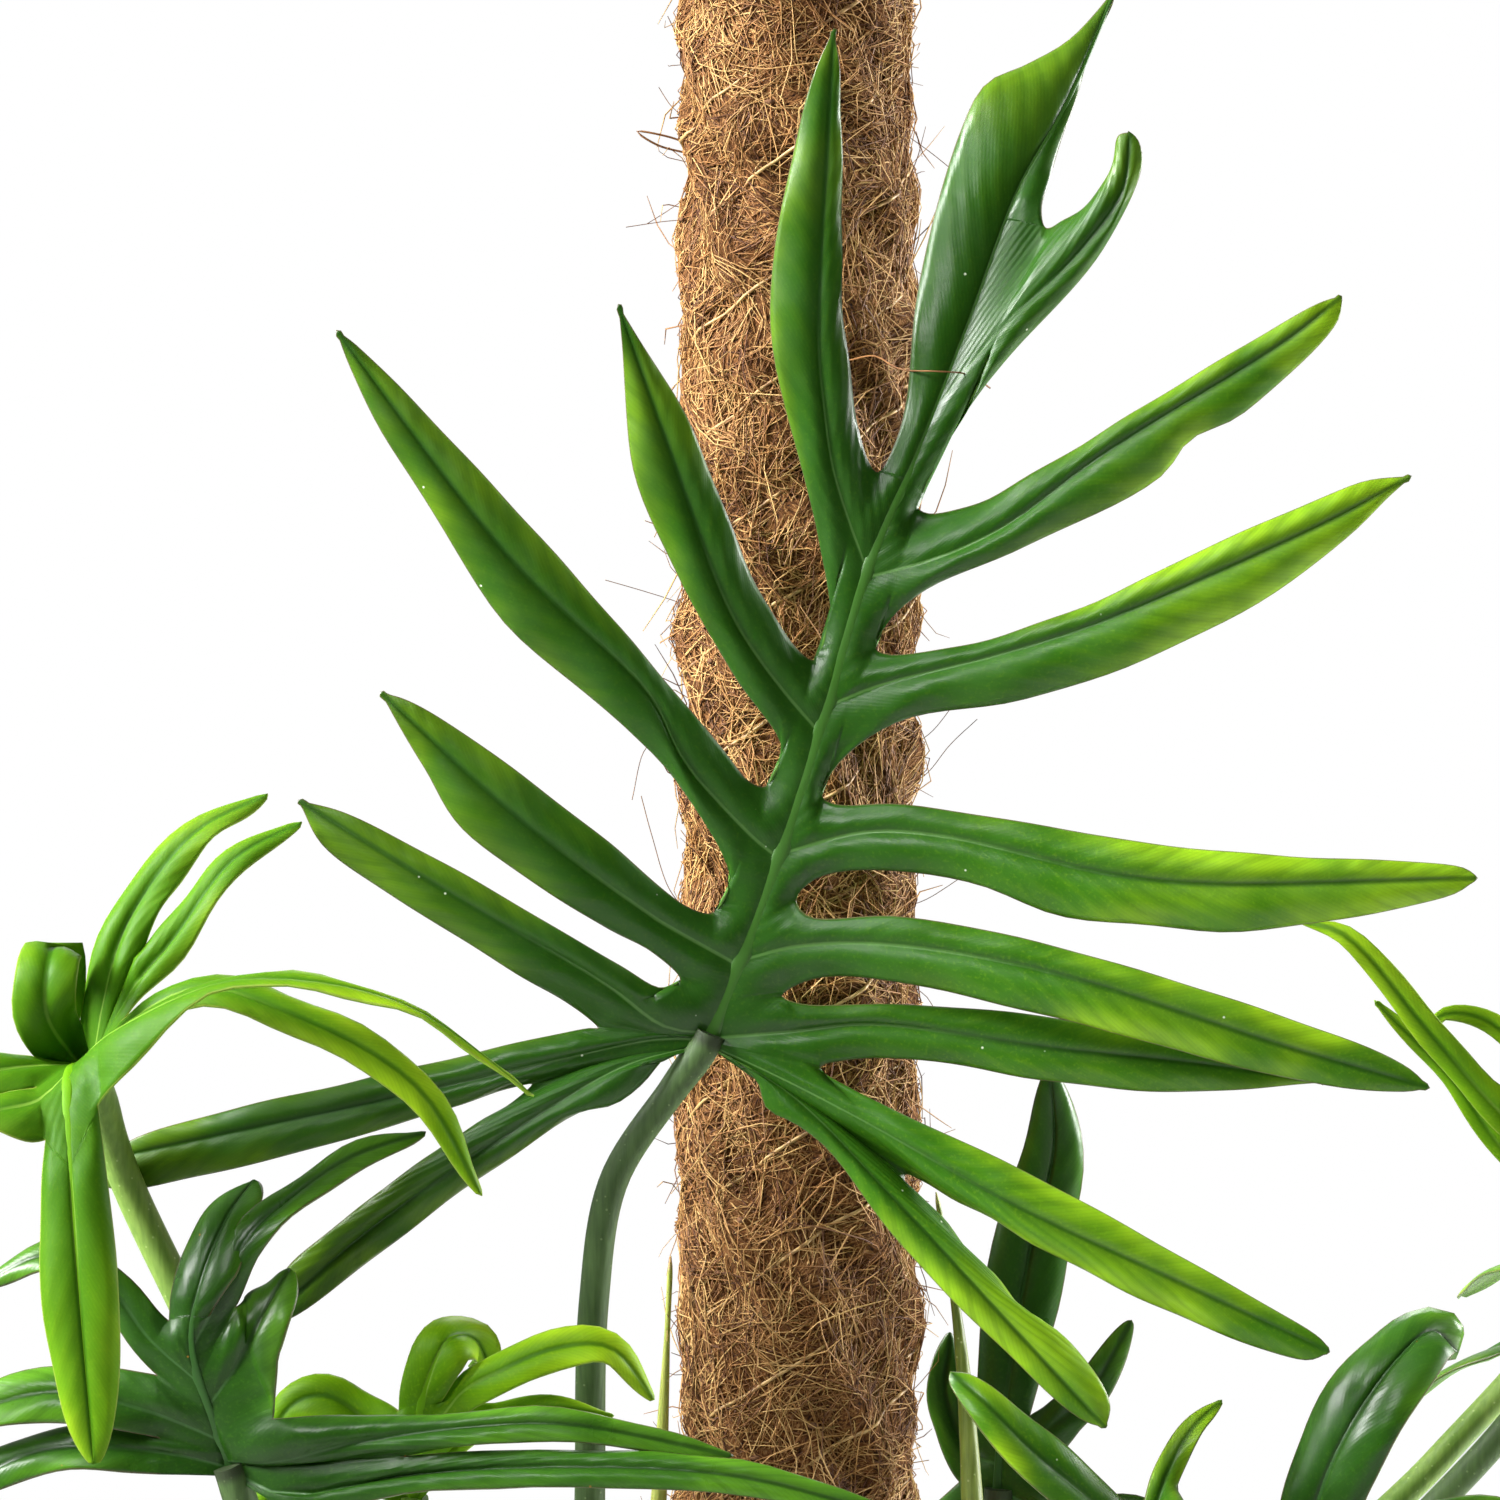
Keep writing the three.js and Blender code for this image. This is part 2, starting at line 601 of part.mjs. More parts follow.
const DARK_LEFT = {
  finish: 'darkBlade', stem: 'left', radius: 3.8, facing: [-0.1, -0.8, 0.5], end: { from: 0.5, width: 7 },
  stalk: [[-44, 262, -8], [-74, 356, -52], [-106, 470, -70], [-134, 545, -70], [-141.5, 566, -72]],
  rachis: [[-141.5, 566, -72], [-147, 581, -76], [-152, 600, -80], [-149, 615, -81], [-143, 630, -76],
    [-136, 640, -64]],
  right: [
    { at: 0.02, w: 5, necks: [0.1, 0.3],
      rib: [[-128, 561, -78], [-99, 566, -84], [-64, 568, -90], [-16, 566, -94], [33, 553, -94]] },
    { at: 0.05, w: 4.5, necks: [0.3, 0.14],
      rib: [[-132, 569, -79], [-112, 574, -84], [-83, 578, -88], [-60, 579, -90], [-16, 571, -88]] },
    { at: 0.22, w: 6, rib: [[-140, 594, -80], [-134, 606, -81], [-127, 618, -78]] },
    { at: 0.4, w: 4.5, necks: [0.12, 0.12],
      rib: [[-144, 612, -82], [-138, 625, -82], [-126, 636, -78], [-112, 645.5, -74], [-93, 652, -68]] },
  ],
  left: [
    { at: 0.03, w: 6, rib: [[-160, 572, -74], [-190, 572, -72], [-222, 556, -64]] },
    { at: 0.12, w: 7.5, rib: [[-162, 582, -76], [-186, 587, -74], [-218, 578, -70]] },
    { at: 0.3, w: 5, rib: [[-162, 600, -78], [-172, 613, -75], [-187, 621, -72], [-206, 613, -66]] },
  ],
};

const LIGHT_MIDDLE = {
  finish: 'youngBlade', stem: 'left', radius: 3.4, facing: [0.05, -0.8, 0.5], end: { from: 0.42, width: 7 },
  stalk: [[-44, 292, -8], [-62, 380, -36], [-87, 500, -46], [-95, 545, -50], [-96, 558, -54]],
  rachis: [[-96, 558, -54], [-95, 574, -62], [-93, 588, -68], [-87.5, 600, -68], [-81, 600, -60],
    [-76, 590, -52]],
  right: [
    { at: 0.08, w: 4, necks: [0.2, 0.3], rib: [[-82, 578, -62], [-64, 583, -64], [-46, 581, -62]] },
    { at: 0.2, w: 5.5, necks: [0.3, 0.2],
      rib: [[-84, 587, -68], [-74, 592.5, -70], [-60, 598, -70], [-47, 598, -70], [-36, 585, -66]] },
  ],
  left: [
    { at: 0.04, w: 5, rib: [[-108, 566, -56], [-124, 566, -56], [-140, 552, -50]] },
    { at: 0.16, w: 6, rib: [[-108, 580, -60], [-118, 586, -60], [-126, 584, -58], [-134, 572, -54]] },
  ],
};

const DARK_BEHIND = {
  finish: 'darkBlade', stem: 'back', radius: 3.6, facing: [0.1, -1, 0.1], end: { from: 0.22, width: 10 },
  stalk: [[8, 322, 46], [16, 400, 63], [38, 500, 58], [51, 548, 40], [50, 560, 37]],
  rachis: [[50, 560, 37], [52, 585, 34], [58, 622, 34], [64, 648, 31], [63, 668, 25]],
  right: [
    { at: 0.02, w: 5, rib: [[66, 556, 34], [86, 556, 30], [104, 544, 28]] },
    { at: 0.1, w: 5, rib: [[58, 575, 31], [72, 586, 26], [83.5, 605, 21]] },
  ],
  left: [
    { at: 0.03, w: 5, rib: [[40, 556, 44], [28, 548, 54], [16, 530, 60]] },
    { at: 0.08, w: 5, rib: [[43, 572, 40], [37, 586, 40], [38, 602, 41]] },
  ],
};

const FRONT_RIGHT = {
  finish: 'blade', stem: 'right', radius: 3.6, facing: [0.1, -0.8, 0.6], end: { from: 0.6, width: 9 },
  stalk: [[39, 300, -24], [52, 390, -52], [74, 490, -62], [84, 535, -62], [86, 546, -64]],
  rachis: [[86, 546, -64], [90, 545, -80], [96, 528, -96], [99, 500, -104], [98, 462, -106],
    [92, 428, -100]],
  right: [
    { at: 0.02, w: 7, necks: [0.14, 0.14], facing: [-0.1, -0.8, 0.6],
      rib: [[73, 560, -72], [58, 573, -77], [47, 584, -77], [38, 592, -72]] },
    { at: 0.16, w: 6, rib: [[70, 540, -92], [48, 520, -104], [30, 486, -106]] },
    { at: 0.36, w: 6, rib: [[74, 500, -112], [58, 468, -114], [48, 436, -108]] },
  ],
  left: [
    { at: 0.03, w: 3.5, rib: [[92, 566, -58], [98, 577, -54], [106, 585, -50]] },
    { at: 0.16, w: 6, rib: [[112, 545, -88], [134, 528, -92], [152, 496, -90]] },
    { at: 0.36, w: 6, rib: [[122, 502, -108], [138, 472, -110], [146, 440, -104]] },
  ],
};

const DARK_RIGHT = {
  finish: 'darkBlade', stem: 'right', radius: 3.6, facing: [-0.35, -0.8, 0.4], end: { from: 0.16, width: 12 },
  stalk: [[39, 330, -24], [66, 410, -38], [104, 490, -42], [122, 530, -40], [126, 541, -42]],
  rachis: [[126, 541, -42], [130, 560, -47], [138, 578, -51], [149, 594, -50], [158, 602, -44],
    [165, 597, -34]],
  right: [
    { at: 0.02, w: 6, rib: [[144, 536, -44], [168, 532, -38], [192, 512, -30]] },
    { at: 0.08, w: 6, rib: [[148, 552, -44], [172, 556, -36], [196, 544, -26]] },
  ],
  left: [
    { at: 0.02, w: 6, rib: [[112, 528, -50], [104, 506, -52], [104, 478, -48]] },
    { at: 0.07, w: 4, rib: [[116, 547, -54], [108, 554, -64], [104, 548, -72]] },
  ],
};

const YOUNG_RIGHT = {
  finish: 'youngBlade', stem: 'right', radius: 3.4, facing: [-0.5, -0.75, 0.3], end: { from: 0.7, width: 7 },
  stalk: [[39, 385, -24], [78, 460, -28], [120, 530, -24], [160, 570, -18], [190, 606, -12],
    [194, 626, -12]],
  rachis: [[194, 626, -12], [201, 652, -12], [212, 690, -8], [222, 735, 2], [228, 776, 18]],
  left: [
    { at: 0.02, w: 3, rib: [[176, 648, -14], [163, 666, -16], [144, 685, -20]] },
    { at: 0.08, w: 4, necks: [0.12, 0.12],
      rib: [[175.5, 657, -18], [158, 677, -22], [137, 701, -26], [125, 705, -22]] },
    { at: 0.2, w: 3, rib: [[186, 668, -14], [172, 680, -12], [161, 681, -14], [158, 676, -18]] },
    { at: 0.42, w: 6, rib: [[198, 704, -14], [182, 730, -20], [180, 760, -16]] },
  ],
  right: [
    { at: 0.04, w: 6, rib: [[214, 624, -14], [238, 624, -16], [262, 606, -10]] },
    { at: 0.24, w: 6, rib: [[226, 668, -12], [252, 678, -14], [280, 664, -8]] },
    { at: 0.44, w: 6, rib: [[236, 706, -6], [262, 724, -8], [286, 716, 0]] },
  ],
};

// Leaves that follow one rule: heading and pitch in degrees, size against the big leaf.
const RULED_LEAVES = {
  right_back: {
    stem: 'back', from: 282, junction: [196, 64, 596], via: [[46, 68, 362], [120, 80, 500]],
    heading: 20, pitch: 40, size: 0.85, seed: 3,
  },
  back: {
    stem: 'back', from: 250, junction: [-56, 150, 500], via: [[-8, 78, 330], [-34, 118, 440]],
    heading: 112, pitch: 30, size: 1, seed: 11,
  },
  low_front: {
    stem: 'left', from: 230, junction: [-82, -132, 402], via: [[-50, -50, 286], [-64, -96, 360]],
    heading: 245, pitch: 12, size: 0.9, seed: 23,
  },
  low_right: {
    stem: 'right', from: 240, junction: [152, -66, 432], via: [[62, -36, 300], [112, -54, 390]],
    heading: 338, pitch: 16, size: 0.9, seed: 31,
  },
  left_back: {
    stem: 'left', from: 205, junction: [-150, 76, 452], via: [[-66, 8, 256], [-118, 48, 380]],
    heading: 150, pitch: 28, size: 0.95, seed: 47,
  },
};

const RULE = {
  rachis: 175, steps: 6, droop: 62,
  lobe: 118, width: 10, lift: 10, spread: [132, 42], reach: [0.66, 0.85, 1, 0.8], endFrom: 0.66,
  firstLobe: 0.03, lobeSpan: 0.5, stagger: 0.012, neck: 0.18,
  ribSteps: 4, forward: 0.07, sag: 0.2, sagMore: 0.15,
  scatter: 6, lengthScatter: 0.08, waveScatter: 3,
  lead: { along: -16, behind: -8 },
};

/** A leaf by rule: a drooping rachis with paired lobes that fan from back to tip. */
function ruledLeaf({ junction, heading, pitch, size, seed }) {
  const random = randomSource(seed);
  const turn = THREE.MathUtils.degToRad(heading);
  const level = vec(Math.cos(turn), Math.sin(turn), 0);
  const points = [vec(...junction)];
  for (let i = 0; i < RULE.steps; i += 1) {
    const angle = THREE.MathUtils.degToRad(pitch - (RULE.droop * i) / (RULE.steps - 1));
    const step = level.clone().multiplyScalar(Math.cos(angle)).setZ(Math.sin(angle));
    points.push(points[i].clone().addScaledVector(step, (RULE.rachis * size) / RULE.steps));
  }
  const rachis = curveThrough(points);
  const tilt = THREE.MathUtils.degToRad(pitch - RULE.droop / 2);
  const facing = level.clone().multiplyScalar(-Math.sin(tilt)).setZ(Math.cos(tilt));
  const sides = {};
  for (const [name, side] of [['right', 1], ['left', -1]]) {
    sides[name] = RULE.reach.map((reach, i) => {
      const share = i / (RULE.reach.length - 1);
      const attach = RULE.firstLobe + RULE.lobeSpan * share + RULE.stagger * (side + 1);
      const degrees = THREE.MathUtils.lerp(...RULE.spread, share) + RULE.scatter * random();
      const angle = THREE.MathUtils.degToRad(degrees);
      const along = rachis.getTangentAt(attach);
      const across = along.clone().cross(facing).normalize().multiplyScalar(side);
      const step = along.clone().multiplyScalar(Math.cos(angle)).addScaledVector(across, Math.sin(angle));
      step.addScaledVector(facing, Math.sin(THREE.MathUtils.degToRad(RULE.lift)));
      const length = RULE.lobe * size * reach * (1 + RULE.lengthScatter * random());
      const rib = [];
      const point = rachis.getPointAt(attach);
      for (let k = 0; k < RULE.ribSteps; k += 1) {
        point.addScaledVector(step.normalize(), length / RULE.ribSteps);
        rib.push(point.clone());
        step.addScaledVector(along, RULE.forward).z -= (RULE.sag + RULE.sagMore * k) / 2;
      }
      const phase = RULE.waveScatter * random();
      return { attach, width: RULE.width * size, necks: [RULE.neck, RULE.neck], rib, phase };
    });
  }
  return { rachis, facing, sides, end: { from: RULE.endFrom, width: RULE.width * size } };
}

const PHASE_STEP = 1.7;            // turn of the ripple from one drawn lobe to the next

/** Where a stalk ends: a little way up the midrib, inside the blade. */
const seatOn = (rachis) => rachis.getPointAt(STALK.seat / rachis.getLength());

/** Reads a leaf given by points of the front view. */
function drawnLeaf(leaf) {
  const lobes = (list) => list.map(({ at, w, necks, rib, facing }, i) => ({
    attach: at,
    width: w,
    necks,
    rib: rib.map(front),
    facing: facing && vec(...facing).normalize(),
    phase: i * PHASE_STEP,
  }));
  return {
    rachis: curveThrough(leaf.rachis.map(front)),
    facing: vec(...leaf.facing).normalize(),
    sides: { right: lobes(leaf.right), left: lobes(leaf.left) },
    end: leaf.end,
  };
}

const FINE = { web: 2, rows: 9, endRows: 11 };
const PLAIN = { web: 1, rows: 4, endRows: 5 };

function ribbonBlade({ rachis, facing, sides, end }, size) {
  const halves = [['right', 1], ['left', -1]].map(([name, side]) => ({
    lobes: sides[name].map((lobe) => ribbonLobe(rachis, side, { ...lobe, facing: lobe.facing ?? facing })),
    terminal: ribbonEnd(rachis, side, { ...end, facing }),
  }));
  return bladeSheet(rachis, halves, PLAIN, RIDGE * size);
}

function bigLeaf() {
  const at = ([x, z, depth]) => front([BIG.x + x, BIG.z + z, depth]);
  const rachis = curveThrough(BIG_RACHIS.map(at));
  const tip = BIG_RACHIS[BIG_RACHIS.length - 1];
  const halves = ['right', 'left'].map((name) => ({
    lobes: BIG_LOBES[name].map((lobe) => outlinedLobe(rachis, BIG, lobe)),
    terminal: outlinedEnd(rachis, BIG, BIG_END[name], tip),
  }));
  const sheet = bladeSheet(rachis, halves, FINE, RIDGE);
  const { x, y } = STEMS.left;
  const path = [vec(x, y, BIG.foot), ...BIG_STALK.map(at), seatOn(rachis)];
  return { sheet, stalk: { curve: curveThrough(path), radius: STALK.radius } };
}

// Pot, soil and pole

function lathe(profile, sides) {
  const points = profile.map(([radius, z]) => new THREE.Vector2(radius, z));
  return new THREE.LatheGeometry(points, sides).rotateX(Math.PI / 2);
}

function potBody() {
  const { top, foot, height, wall, floor, rim, rimHeight, footBevel, rimBevel, lipBevel, sides } = POT;
  const inner = (z) => foot + ((top - rim - foot) * z) / height - wall;
  const skirt = height - rimHeight;
  const shell = bodyOf(lathe([
    [0, 0], [foot - footBevel, 0], [foot, footBevel],
    [inner(skirt) + wall, skirt], [top - rimBevel, skirt],
    [top, skirt + rimBevel], [top, height - rimBevel], [top - rimBevel, height],
    [inner(height) + lipBevel, height], [inner(height), height - lipBevel],
    [inner(floor), floor], [0, floor],
  ], sides));
  const holes = Array.from({ length: DRAIN.count }, (_, i) => {
    const turn = (i / DRAIN.count) * Math.PI * 2 + DRAIN.turn;
    const plug = new THREE.CylinderGeometry(DRAIN.radius, DRAIN.radius, 4 * floor, DRAIN.sides);
    plug.rotateX(Math.PI / 2).translate(Math.cos(turn) * DRAIN.ring, Math.sin(turn) * DRAIN.ring, 0);
    return bodyOf(plug);
  });
  return { body: holes.reduce((left, hole) => left.subtract(hole), shell), inner };
}

function soilBody(inner, clearances) {
  const base = POT.floor + GAP;
  const edge = inner(SOIL.height) - GAP;
  const domeAt = (share) => SOIL.height + SOIL.mound * (1 - share * share);
  const ground = lathe([
    [0, base], [inner(base) - GAP, base], [edge, SOIL.height],
    ...SOIL.rings.map((share) => [share * edge, domeAt(share)]),
    [0, domeAt(0)],
  ], POT.sides);
  const position = ground.attributes.position;
  for (let i = 0; i < position.count; i += 1) {
    const [x, y, z] = [position.getX(i), position.getY(i), position.getZ(i)];
    const radius = Math.hypot(x, y);
    if (z > SOIL.height + 0.1 && radius > 1) {
      const lump = Math.sin((2 * Math.PI * x) / SOIL.clod) * Math.cos((2 * Math.PI * y) / SOIL.clod + 1);
      position.setZ(i, z + SOIL.bump * lump);
    }
  }
  return clearances.reduce((left, hole) => left.subtract(hole), bodyOf(ground));
}

/** How far the coir stands out from its mean radius: two slow waves that climb opposite ways. */
function coirBulge(x, y, z) {
  const turn = Math.atan2(y, x);
  return COIR.bulge * (0.6 * Math.sin(2 * turn + z / 31) + 0.4 * Math.cos(3 * turn - z / 43));
}

function coirGeometry(grow = 0) {
  const foot = POT.floor + GAP - grow;
  const bore = PIPE.outer + GAP;
  const shoulder = HEIGHT - COIR.dome;
  const count = Math.round((shoulder - foot) / COIR.row);
  const rowAt = (i) => foot + ((shoulder - foot) * i) / count;
  const wall = Array.from({ length: count + 1 }, (_, i) => [COIR.radius, rowAt(i)]);
  const top = [
    [COIR.radius * COIR.domeEdge, HEIGHT - COIR.domeDrop],
    [COIR.radius * COIR.domeFlat, HEIGHT],
    [0, HEIGHT],
  ];
  const inside = grow ? [[0, foot]] : [[0, shoulder], [bore, shoulder], [bore, foot]];
  const sleeve = lathe([...inside, ...wall, ...top], COIR.sides);
  const position = sleeve.attributes.position;
  for (let i = 0; i < position.count; i += 1) {
    const [x, y, z] = [position.getX(i), position.getY(i), position.getZ(i)];
    const radius = Math.hypot(x, y);
    if (radius > bore + 1) {
      const scale = (radius + grow + coirBulge(x, y, z)) / radius;
      position.setXY(i, x * scale, y * scale);
    }
  }
  return sleeve;
}

function pipeGeometry() {
  const foot = POT.floor + GAP;
  const end = HEIGHT - COIR.dome - GAP;
  const bore = PIPE.outer - PIPE.wall;
  return lathe([[bore, foot], [PIPE.outer, foot], [PIPE.outer, end], [bore, end],
    [bore, foot]], COIR.sides);
}

/** The binding thread: a helix that lies on the coir. */
function threadGeometry() {
  const turns = (THREAD.last - THREAD.first) / THREAD.pitch;
  const steps = Math.round(turns * THREAD.stepsPerTurn);
  const points = Array.from({ length: steps + 1 }, (_, i) => {
    const turn = (i / THREAD.stepsPerTurn) * Math.PI * 2;
    const z = THREAD.first + (THREAD.pitch * i) / THREAD.stepsPerTurn;
    const radius = COIR.radius + THREAD.lift + coirBulge(Math.cos(turn), Math.sin(turn), z);
    return vec(Math.cos(turn) * radius, Math.sin(turn) * radius, z);
  });
  return tube(curveThrough(points), () => THREAD.radius, THREAD.sides, steps);
}

function stemGeometry({ x, y, top }, grow = 0) {
  const foot = SOIL.height - STEM.depth;
  const curve = new THREE.LineCurve3(vec(x, y, foot - (grow ? GAP : 0)), vec(x, y, top + grow));
  const length = top - foot;
  const steps = Math.round((2 * length) / STEM.nodeEvery);
  const ringAt = (s) => (Math.round(s * steps) % 2 ? 0 : STEM.node);
  const radiusAt = (s) => STEM.radius + grow + ringAt(s) - STEM.taper * s;
  return tube(curve, radiusAt, STEM.sides, steps);
}

/** A rolled new leaf or its sheath: a slender horn that stands on the top of a stem. */
function hornGeometry(stem, points, radius) {
  const seat = vec(stem.x, stem.y, stem.top + GAP);
  const lead = seat.clone().setZ(seat.z + 2 * STEM.radius);
  const curve = curveThrough([seat, lead, ...points.map(front)]);
  return tube(curve, (s) => Math.max(HORN.tip, radius * (1 - s * s)), HORN.sides, HORN.steps);
}

const NEW_LEAF_LEFT = [[-43, 480, -12], [-35, 558, -15], [-33.5, 585, -15], [-31.8, 621, -15]];
const NEW_LEAF_RIGHT = [[44, 500, -20], [43.5, 560, -16], [40, 604, -14], [34.5, 637, -12]];

// Assembly

const plant = new THREE.Group();

function addNode(name, geometry, finish) {
  const material = new THREE.MeshStandardMaterial({ ...FINISH[finish], metalness: 0 });
  const mesh = new THREE.Mesh(geometry, material);
  mesh.name = name;
  plant.add(mesh);
}

const stemClearances = Object.fromEntries(
  Object.entries(STEMS).map(([name, stem]) => [name, bodyOf(stemGeometry(stem, GAP))]),
);
const pot = potBody();
const soil = soilBody(pot.inner, [bodyOf(coirGeometry(GAP)), ...Object.values(stemClearances)]);

addNode('pot', geometryOf(pot.body), 'pot');
addNode('soil', geometryOf(soil), 'soil');
addNode('pole_pipe', pipeGeometry(), 'pipe');
addNode('pole_coir', coirGeometry(), 'coir');
addNode('binding_thread', threadGeometry(), 'thread');
for (const [name, stem] of Object.entries(STEMS)) {
  addNode(`stem_${name}`, stemGeometry(stem), 'stem');
}
addNode('new_leaf_left', hornGeometry(STEMS.left, NEW_LEAF_LEFT, HORN.left), 'sheath');
addNode('new_leaf_right', hornGeometry(STEMS.right, NEW_LEAF_RIGHT, HORN.right), 'sheath');

function addLeaf(name, blade, stalk, stem, finish) {
  addNode(`blade_${name}`, geometryOf(blade), finish);
  const stalkFinish = finish === 'youngBlade' ? 'youngStalk' : 'stalk';
  addNode(`stalk_${name}`, geometryOf(stalkBody(stalk, stemClearances[stem])), stalkFinish);
}

const big = bigLeaf();
addLeaf('big', bladeBody(big.sheet, big.stalk), big.stalk, 'left', 'blade');

const DRAWN_LEAVES = {
  young_left: YOUNG_LEFT,
  dark_left: DARK_LEFT,
  light_middle: LIGHT_MIDDLE,
  dark_behind: DARK_BEHIND,
  front_right: FRONT_RIGHT,
  dark_right: DARK_RIGHT,
  young_right: YOUNG_RIGHT,
};
for (const [name, leaf] of Object.entries(DRAWN_LEAVES)) {
  const shape = drawnLeaf(leaf);
  const [foot, ...rest] = leaf.stalk;
  const { x, y } = STEMS[leaf.stem];
  const path = [vec(x, y, foot[1]), ...rest.map(front), seatOn(shape.rachis)];
  const stalk = { curve: curveThrough(path), radius: leaf.radius };
  addLeaf(name, bladeBody(ribbonBlade(shape, DRAWN_SIZE), stalk), stalk, leaf.stem, leaf.finish);
}
for (const [name, leaf] of Object.entries(RULED_LEAVES)) {
  const shape = ruledLeaf(leaf);
  const { x, y } = STEMS[leaf.stem];
  const junction = vec(...leaf.junction);
  const lead = junction.clone()
    .addScaledVector(shape.rachis.getTangentAt(0), RULE.lead.along)
    .addScaledVector(shape.facing, RULE.lead.behind);
  const ends = [lead, junction, seatOn(shape.rachis)];
  const path = [vec(x, y, leaf.from), ...leaf.via.map((p) => vec(...p)), ...ends];
  const stalk = { curve: curveThrough(path), radius: STALK.radius };
  addLeaf(name, bladeBody(ribbonBlade(shape, leaf.size), stalk), stalk, leaf.stem, 'blade');
}

export default plant;
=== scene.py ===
"""The looks of a potted trixi philodendron on a coir pole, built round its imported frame.

Sizes are in millimetres until a mesh is made, and in metres in Blender. +Z is up and -Y the front.
"""
import logging
import math
from collections.abc import Callable
from dataclasses import dataclass, field
from enum import Enum
from functools import partial

import bpy
import numpy as np
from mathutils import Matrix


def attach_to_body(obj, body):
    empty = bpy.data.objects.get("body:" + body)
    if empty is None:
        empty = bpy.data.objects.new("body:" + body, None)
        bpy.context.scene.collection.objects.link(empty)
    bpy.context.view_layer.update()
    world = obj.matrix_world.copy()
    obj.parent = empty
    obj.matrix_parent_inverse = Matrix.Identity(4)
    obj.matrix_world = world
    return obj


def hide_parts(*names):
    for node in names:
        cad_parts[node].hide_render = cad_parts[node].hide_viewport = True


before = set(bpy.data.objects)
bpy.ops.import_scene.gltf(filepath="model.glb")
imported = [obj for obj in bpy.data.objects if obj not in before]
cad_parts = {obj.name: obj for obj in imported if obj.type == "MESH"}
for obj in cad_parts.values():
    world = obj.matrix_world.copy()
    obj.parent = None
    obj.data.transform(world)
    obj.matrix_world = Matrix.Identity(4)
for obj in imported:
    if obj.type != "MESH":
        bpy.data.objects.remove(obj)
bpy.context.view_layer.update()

LOG = logging.getLogger("philodendron")
MM = 0.001
BODY = "root"
MATH, RANGE, MIX = "ShaderNodeMath", "ShaderNodeMapRange", "ShaderNodeMix"
VECTOR, NOISE, STORED = "ShaderNodeVectorMath", "ShaderNodeTexNoise", "ShaderNodeAttribute"
Array, Mesh, Material, Socket = np.ndarray, bpy.types.Mesh, bpy.types.Material, bpy.types.NodeSocket
Point = tuple[float, ...]
Value = float | int | str | bool | tuple | Socket | bpy.types.ID
Reader = Callable[[Array], Array]
Draw = Callable[[], float]


class Tone(Enum):
    """The three greens of the leaves, by the slots that they take their finish from."""

    GREEN = "leaf_green"
    DARK = "leaf_dark"
    YOUNG = "leaf_young"


@dataclass(frozen=True)
class FrontView:
    """Where the outlines are seen from: level with x and z, this far in front of the pole's axis."""

    x: float = -12.0
    z: float = 747.5
    distance: float = 2200.0
    width: float = 375.0

    def place(self, x: Array, z: Array, depth: Array) -> Array:
        """Puts what is seen at (x, z) at a depth along Y.

        Args:
            x: Places across the view, in mm at the pole's axis.
            z: Heights in the view, in mm at the pole's axis.
            depth: Y of each point, in mm.

        Returns:
            One row of x, y and z for each point.
        """
        x, z, depth = np.broadcast_arrays(*(np.asarray(v, float) for v in (x, z, depth)))
        scale = (self.distance + depth) / self.distance
        return np.stack([self.x + (x - self.x) * scale, depth, self.z + (z - self.z) * scale], -1)

    def points(self, points: list[Point], x: float = 0.0, z: float = 0.0) -> Array:
        """Places a list of (x, z, depth) points that are given from a corner at x and z."""
        columns = np.array(points, float).T
        return self.place(columns[0] + x, columns[1] + z, columns[2])


VIEW = FrontView()


def linear(colour: str) -> tuple[float, float, float, float]:
    """Turns an sRGB hex colour into Blender's linear colour.

    Args:
        colour: Such as "#4f7036".

    Returns:
        Red, green, blue and alpha.
    """
    parts = [int(colour[i:i + 2], 16) / 255 for i in (1, 3, 5)]
    red, green, blue = (c / 12.92 if c <= 0.04045 else ((c + 0.055) / 1.055) ** 2.4 for c in parts)
    return red, green, blue, 1.0


def wire(tree: bpy.types.NodeTree, inputs: bpy.types.NodeInputs, values: dict[int | str, Value]) -> None:
    """Links or sets the inputs of a node.

    Args:
        tree: The node tree.
        inputs: The node's inputs.
        values: An output to link, or a constant, by the input's number or name.
    """
    for key, value in values.items():
        if isinstance(value, Socket):
            tree.links.new(value, inputs[key])
        else:
            inputs[key].default_value = value


def add(tree: bpy.types.NodeTree, kind: str, values: tuple[Value, ...] | dict[int | str, Value] = (),
        operation: str | None = None, **settings: Value) -> bpy.types.NodeOutputs:
    """Adds a node to a tree.

    Args:
        tree: The node tree.
        kind: The node's type.
        values: Outputs to link or constants, in the order of the inputs or by number or name.
        operation: What the node does, where its type can do several things.
        settings: The node's other properties.

    Returns:
        The node's outputs.
    """
    made = tree.nodes.new(kind)
    if operation:
        made.operation = operation
    for name, value in settings.items():
        setattr(made, name, value)
    wire(tree, made.inputs, values if isinstance(values, dict) else dict(enumerate(values)))
    return made.outputs


def smoothstep(value: Array) -> Array:
    """Eases 0 to 1."""
    value = np.clip(value, 0, 1)
    return value * value * (3 - 2 * value)


